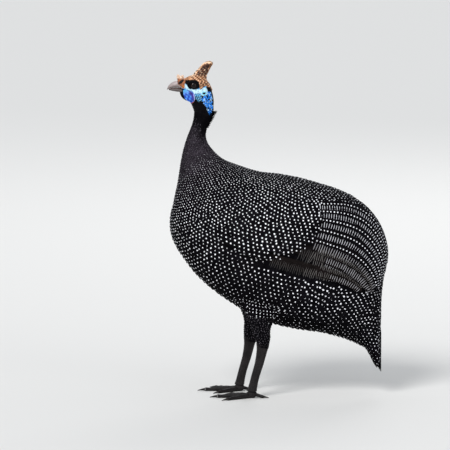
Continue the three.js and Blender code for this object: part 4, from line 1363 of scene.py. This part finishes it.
def pearl_dots(marks):
    """White dots over the trunk, smaller where the grey of the neck starts, and on the thighs."""
    station, angle = row_places(BIRD, BODY_AT - 2.6, BIRD.end - 0.45, pearl_spacing, wide_share=0.8)
    station, angle = thinned(BIRD, station, angle, PEARL_LEAST * pearl_spacing(station, angle))
    station, angle = relaxed(BIRD, station, angle, pearl_spacing(station, angle))
    station, angle = jittered(BIRD, station, angle, PEARL_LOOSE * pearl_spacing(station, angle))
    station = np.clip(station, BODY_AT - 2.8, BIRD.end - 0.4)
    from_grey = station - BODY_AT - throat_reach(angle)
    fading = ease(-2.0, 0.0, from_grey) > rng.uniform(0, 0.5, len(station))
    keep = ~on_wing(station - BODY_AT, angle) & fading
    station, angle, from_grey = station[keep], angle[keep], from_grey[keep]
    share = pearl_size(station - BODY_AT, angle, from_grey)
    size = pearl_spacing(station, angle) * share * rng.uniform(0.68, 1.24, len(station))
    stretch = rng.uniform(0.88, 1.16, len(station))
    marks.add("pearl_dots", BIRD, station, angle, size * stretch, size / stretch)
    for form in SHANKS:
        station, angle = row_places(form, 0.12, 1.0, even(SHANK_PEARL_PITCH))
        size = rng.uniform(0.45, 0.75, len(station))
        marks.add("pearl_dots", form, station, angle, size, size)


def neck_flecks(marks):
    """Fine grey flecks that break up the dark neck, and duller dots down the shanks."""
    station, angle = row_places(BIRD, NECK_AT + 0.5, BODY_AT + 1.2, even(FLECK_PITCH))
    station, angle = jittered(BIRD, station, angle, FLECK_LOOSE)
    body = station - BODY_AT
    starting = ease(-5.8, -3.2, grey_start(body, angle))
    keep = (starting > rng.uniform(0, 1, len(station))) & (body - throat_reach(angle) < -1.0)
    size = rng.uniform(0.2, 0.42, len(station))
    marks.add("neck_flecks", BIRD, station[keep], angle[keep], size[keep], size[keep] * 1.7)
    for form in SHANKS:
        station, angle = row_places(form, 1.0, form.end - 0.5, even(SHANK_FLECK_PITCH))
        station, angle = jittered(form, station, angle, SHANK_FLECK_LOOSE)
        size = rng.uniform(0.4, 0.75, len(station))
        marks.add("neck_flecks", form, np.minimum(station, form.end - 0.45), angle, size, size)


# Half lengths and half widths of the bars of the wing, by the place of their strip.
LONG_BAR = ([0, 0.5, 0.65, 0.72, 0.8, 0.9, 1], [2.3, 3.0, 4.6, 7.6, 7.6, 5.6, 5.6])
THICK_BAR = ([0, 0.5, 0.8, 1], [0.44, 0.44, 0.38, 0.34])


def upper_rows(strip, start, tip, thick, wide):
    """The rows of the upper strips: their kind, place across the strip, ends, spacing and half sizes."""
    return [
        ("pearl_dots", 0.08, start, tip, 5.2, 1.0, 0.95),
        ("light_bars" if strip < 0.6 else "pale_bars", 0.58, start + 0.15, tip, 3.7, thick, wide),
    ]


def lower_rows(strip, start, tip, thick, wide, last):
    """The rows of the lower strips, in the same form; their bars grow paler towards the tip."""
    rear = 7.4 + 5 * (strip - 0.78)
    middle, upper, dim_end = (0.18, -0.24, start + 1.3) if last else (0.38, -0.17, start + 0.45)
    return [
        ("brown_bars", upper, dim_end, tip, 2.9, thick, 3.2),
        ("wing_bars", middle, start, dim_end, 2.9, thick, wide),
        ("brown_bars", middle, dim_end, rear, 2.9, thick, wide),
        ("pale_bars", middle, rear, tip, 3.4, thick * 1.15, wide * 0.85),
    ]


def strip_marks(marks):
    """Rows of dots and of cross bars along the flight feathers."""
    for side in (1, -1):
        for index in range(STRIPS):
            strip = strip_place(index)
            ends = covert_tip(strip), strip_tip(strip) - 0.15
            sizes = np.interp(strip, *THICK_BAR), np.interp(strip, *LONG_BAR)
            if strip < 0.7:
                rows = upper_rows(strip, *ends, *sizes)
            else:
                rows = lower_rows(strip, *ends, *sizes, index == STRIPS - 1)
            for row in rows:
                lay_row(marks, side, strip, *row)


def lay_row(marks, side, strip, name, across_share, start, stop, spacing, along, across):
    """Marks in a row along a strip, at a share of the strips' pitch from its middle."""
    body = np.linspace(start, stop, 200)
    angle = strip_angle(body, strip + across_share / STRIPS)
    line = BIRD.at(body + BODY_AT, angle)
    length = np.concatenate([[0], np.cumsum(np.linalg.norm(np.diff(line, axis=0), axis=1))])
    wanted = np.arange(spacing / 2, length[-1], spacing)
    wanted = wanted + rng.normal(0, 0.15, len(wanted))

    def place(step):
        reached = wanted + step
        return np.interp(reached, length, body) + BODY_AT, side * np.interp(reached, length, angle)

    heading = BIRD.at(*place(1)) - BIRD.at(*place(-1))
    heading = heading + rng.normal(0, 0.12 if spacing > 3 else 0.24, heading.shape)
    fuzz = rng.uniform(0.85, 1.12, len(wanted))
    station, turned = place(0)
    wide = across * fuzz * (strip_pitch(station - BODY_AT) / USUAL_PITCH if across > 2 else 1)
    marks.add(name, BIRD, station, turned, along * fuzz, wide, heading)


def dress(node, material):
    """Gives a node of the frame that stays in sight its material."""
    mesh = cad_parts[node].data
    mesh.materials.clear()
    mesh.materials.append(material)


def plumage():
    """The coat, the wings and the tail, and the marks that lie on them."""
    coat, wings, tail = [], [], []
    body_coat(coat)
    shank_coat(coat)
    wing_coat(wings)
    tail_coat(tail)
    coat_pieces("coat", coat)
    feather_piece("wing_feathers", wings, ["left_wing", "right_wing"])
    feather_piece("tail_feathers", tail, ["tail"])
    points, faces = coat_surface(coat + wings + tail)
    marks = Marks(BVHTree.FromPolygons(points.tolist(), faces))
    pearl_dots(marks)
    strip_marks(marks)
    neck_flecks(marks)
    marks.pieces()


def legs():
    for _, name in SIDES:
        dress(f"{name}_tarsus", LEG)
        dress(f"{name}_foot", LEG)
        for toe in ("inner", "middle", "outer", "hind"):
            dress(f"{name}_claw_{toe}", CLAW)


for make in (skin, plumage, casque, cere, bill, wattles, eyes, ears, papillae, nape_tuft, legs):
    make()

# Stage: a pale floor and soft light.
FLOOR_HALF = 30
MIDDLE = Vector((-0.02, 0, 0.25))
SKY = (0.86, 0.9, 0.95, 1)
SKY_STRENGTH = 0.66


def add_light(name, kind, place, power, size):
    """A light towards the bird; size is a sun's angle in degrees, or a disk's width in metres."""
    light = bpy.data.lights.new(name, kind)
    light.energy = power
    if kind == "SUN":
        light.angle = math.radians(size)
    else:
        light.shape = "DISK"
        light.size = size
    placed(name, light, place, MIDDLE)


floor_corners = [(x * FLOOR_HALF, y * FLOOR_HALF, 0) for x, y in ((-1, -1), (1, -1), (1, 1), (-1, 1))]
floor = placed("floor", new_mesh("floor", floor_corners, [(0, 1, 2, 3)]))
floor.data.materials.append(plain_material("pale_floor", (0.74, 0.73, 0.71), 0.9))

world = bpy.data.worlds.new("studio")
world.use_nodes = True
world.node_tree.nodes["Background"].inputs["Color"].default_value = SKY
world.node_tree.nodes["Background"].inputs["Strength"].default_value = SKY_STRENGTH
bpy.context.scene.world = world
bpy.context.scene.view_settings.view_transform = "Standard"
add_light("key", "SUN", (-1.2, -2.0, 2.4), 2.0, 24)
add_light("fill", "AREA", (2.2, -1.8, 1.2), 8, 1.6)
add_light("back", "AREA", (0.6, 2.2, 1.8), 12, 1.4)

# Camera: the photo's view, square on to the left side and a little from above.
CAMERA_RISE = math.radians(8)
CAMERA_AWAY = 6.0
FRAME_WIDTH = 0.6555
SENSOR_WIDTH = 36
AIM = Vector((-0.0759, 0, 0.2505))
camera_data = bpy.data.cameras.new("camera")
camera_data.sensor_width = SENSOR_WIDTH
camera_data.lens = SENSOR_WIDTH * CAMERA_AWAY / FRAME_WIDTH
camera_data.clip_end = 100
camera_place = AIM + Vector((0, -math.cos(CAMERA_RISE), math.sin(CAMERA_RISE))) * CAMERA_AWAY
bpy.context.scene.camera = placed("camera", camera_data, camera_place, AIM)
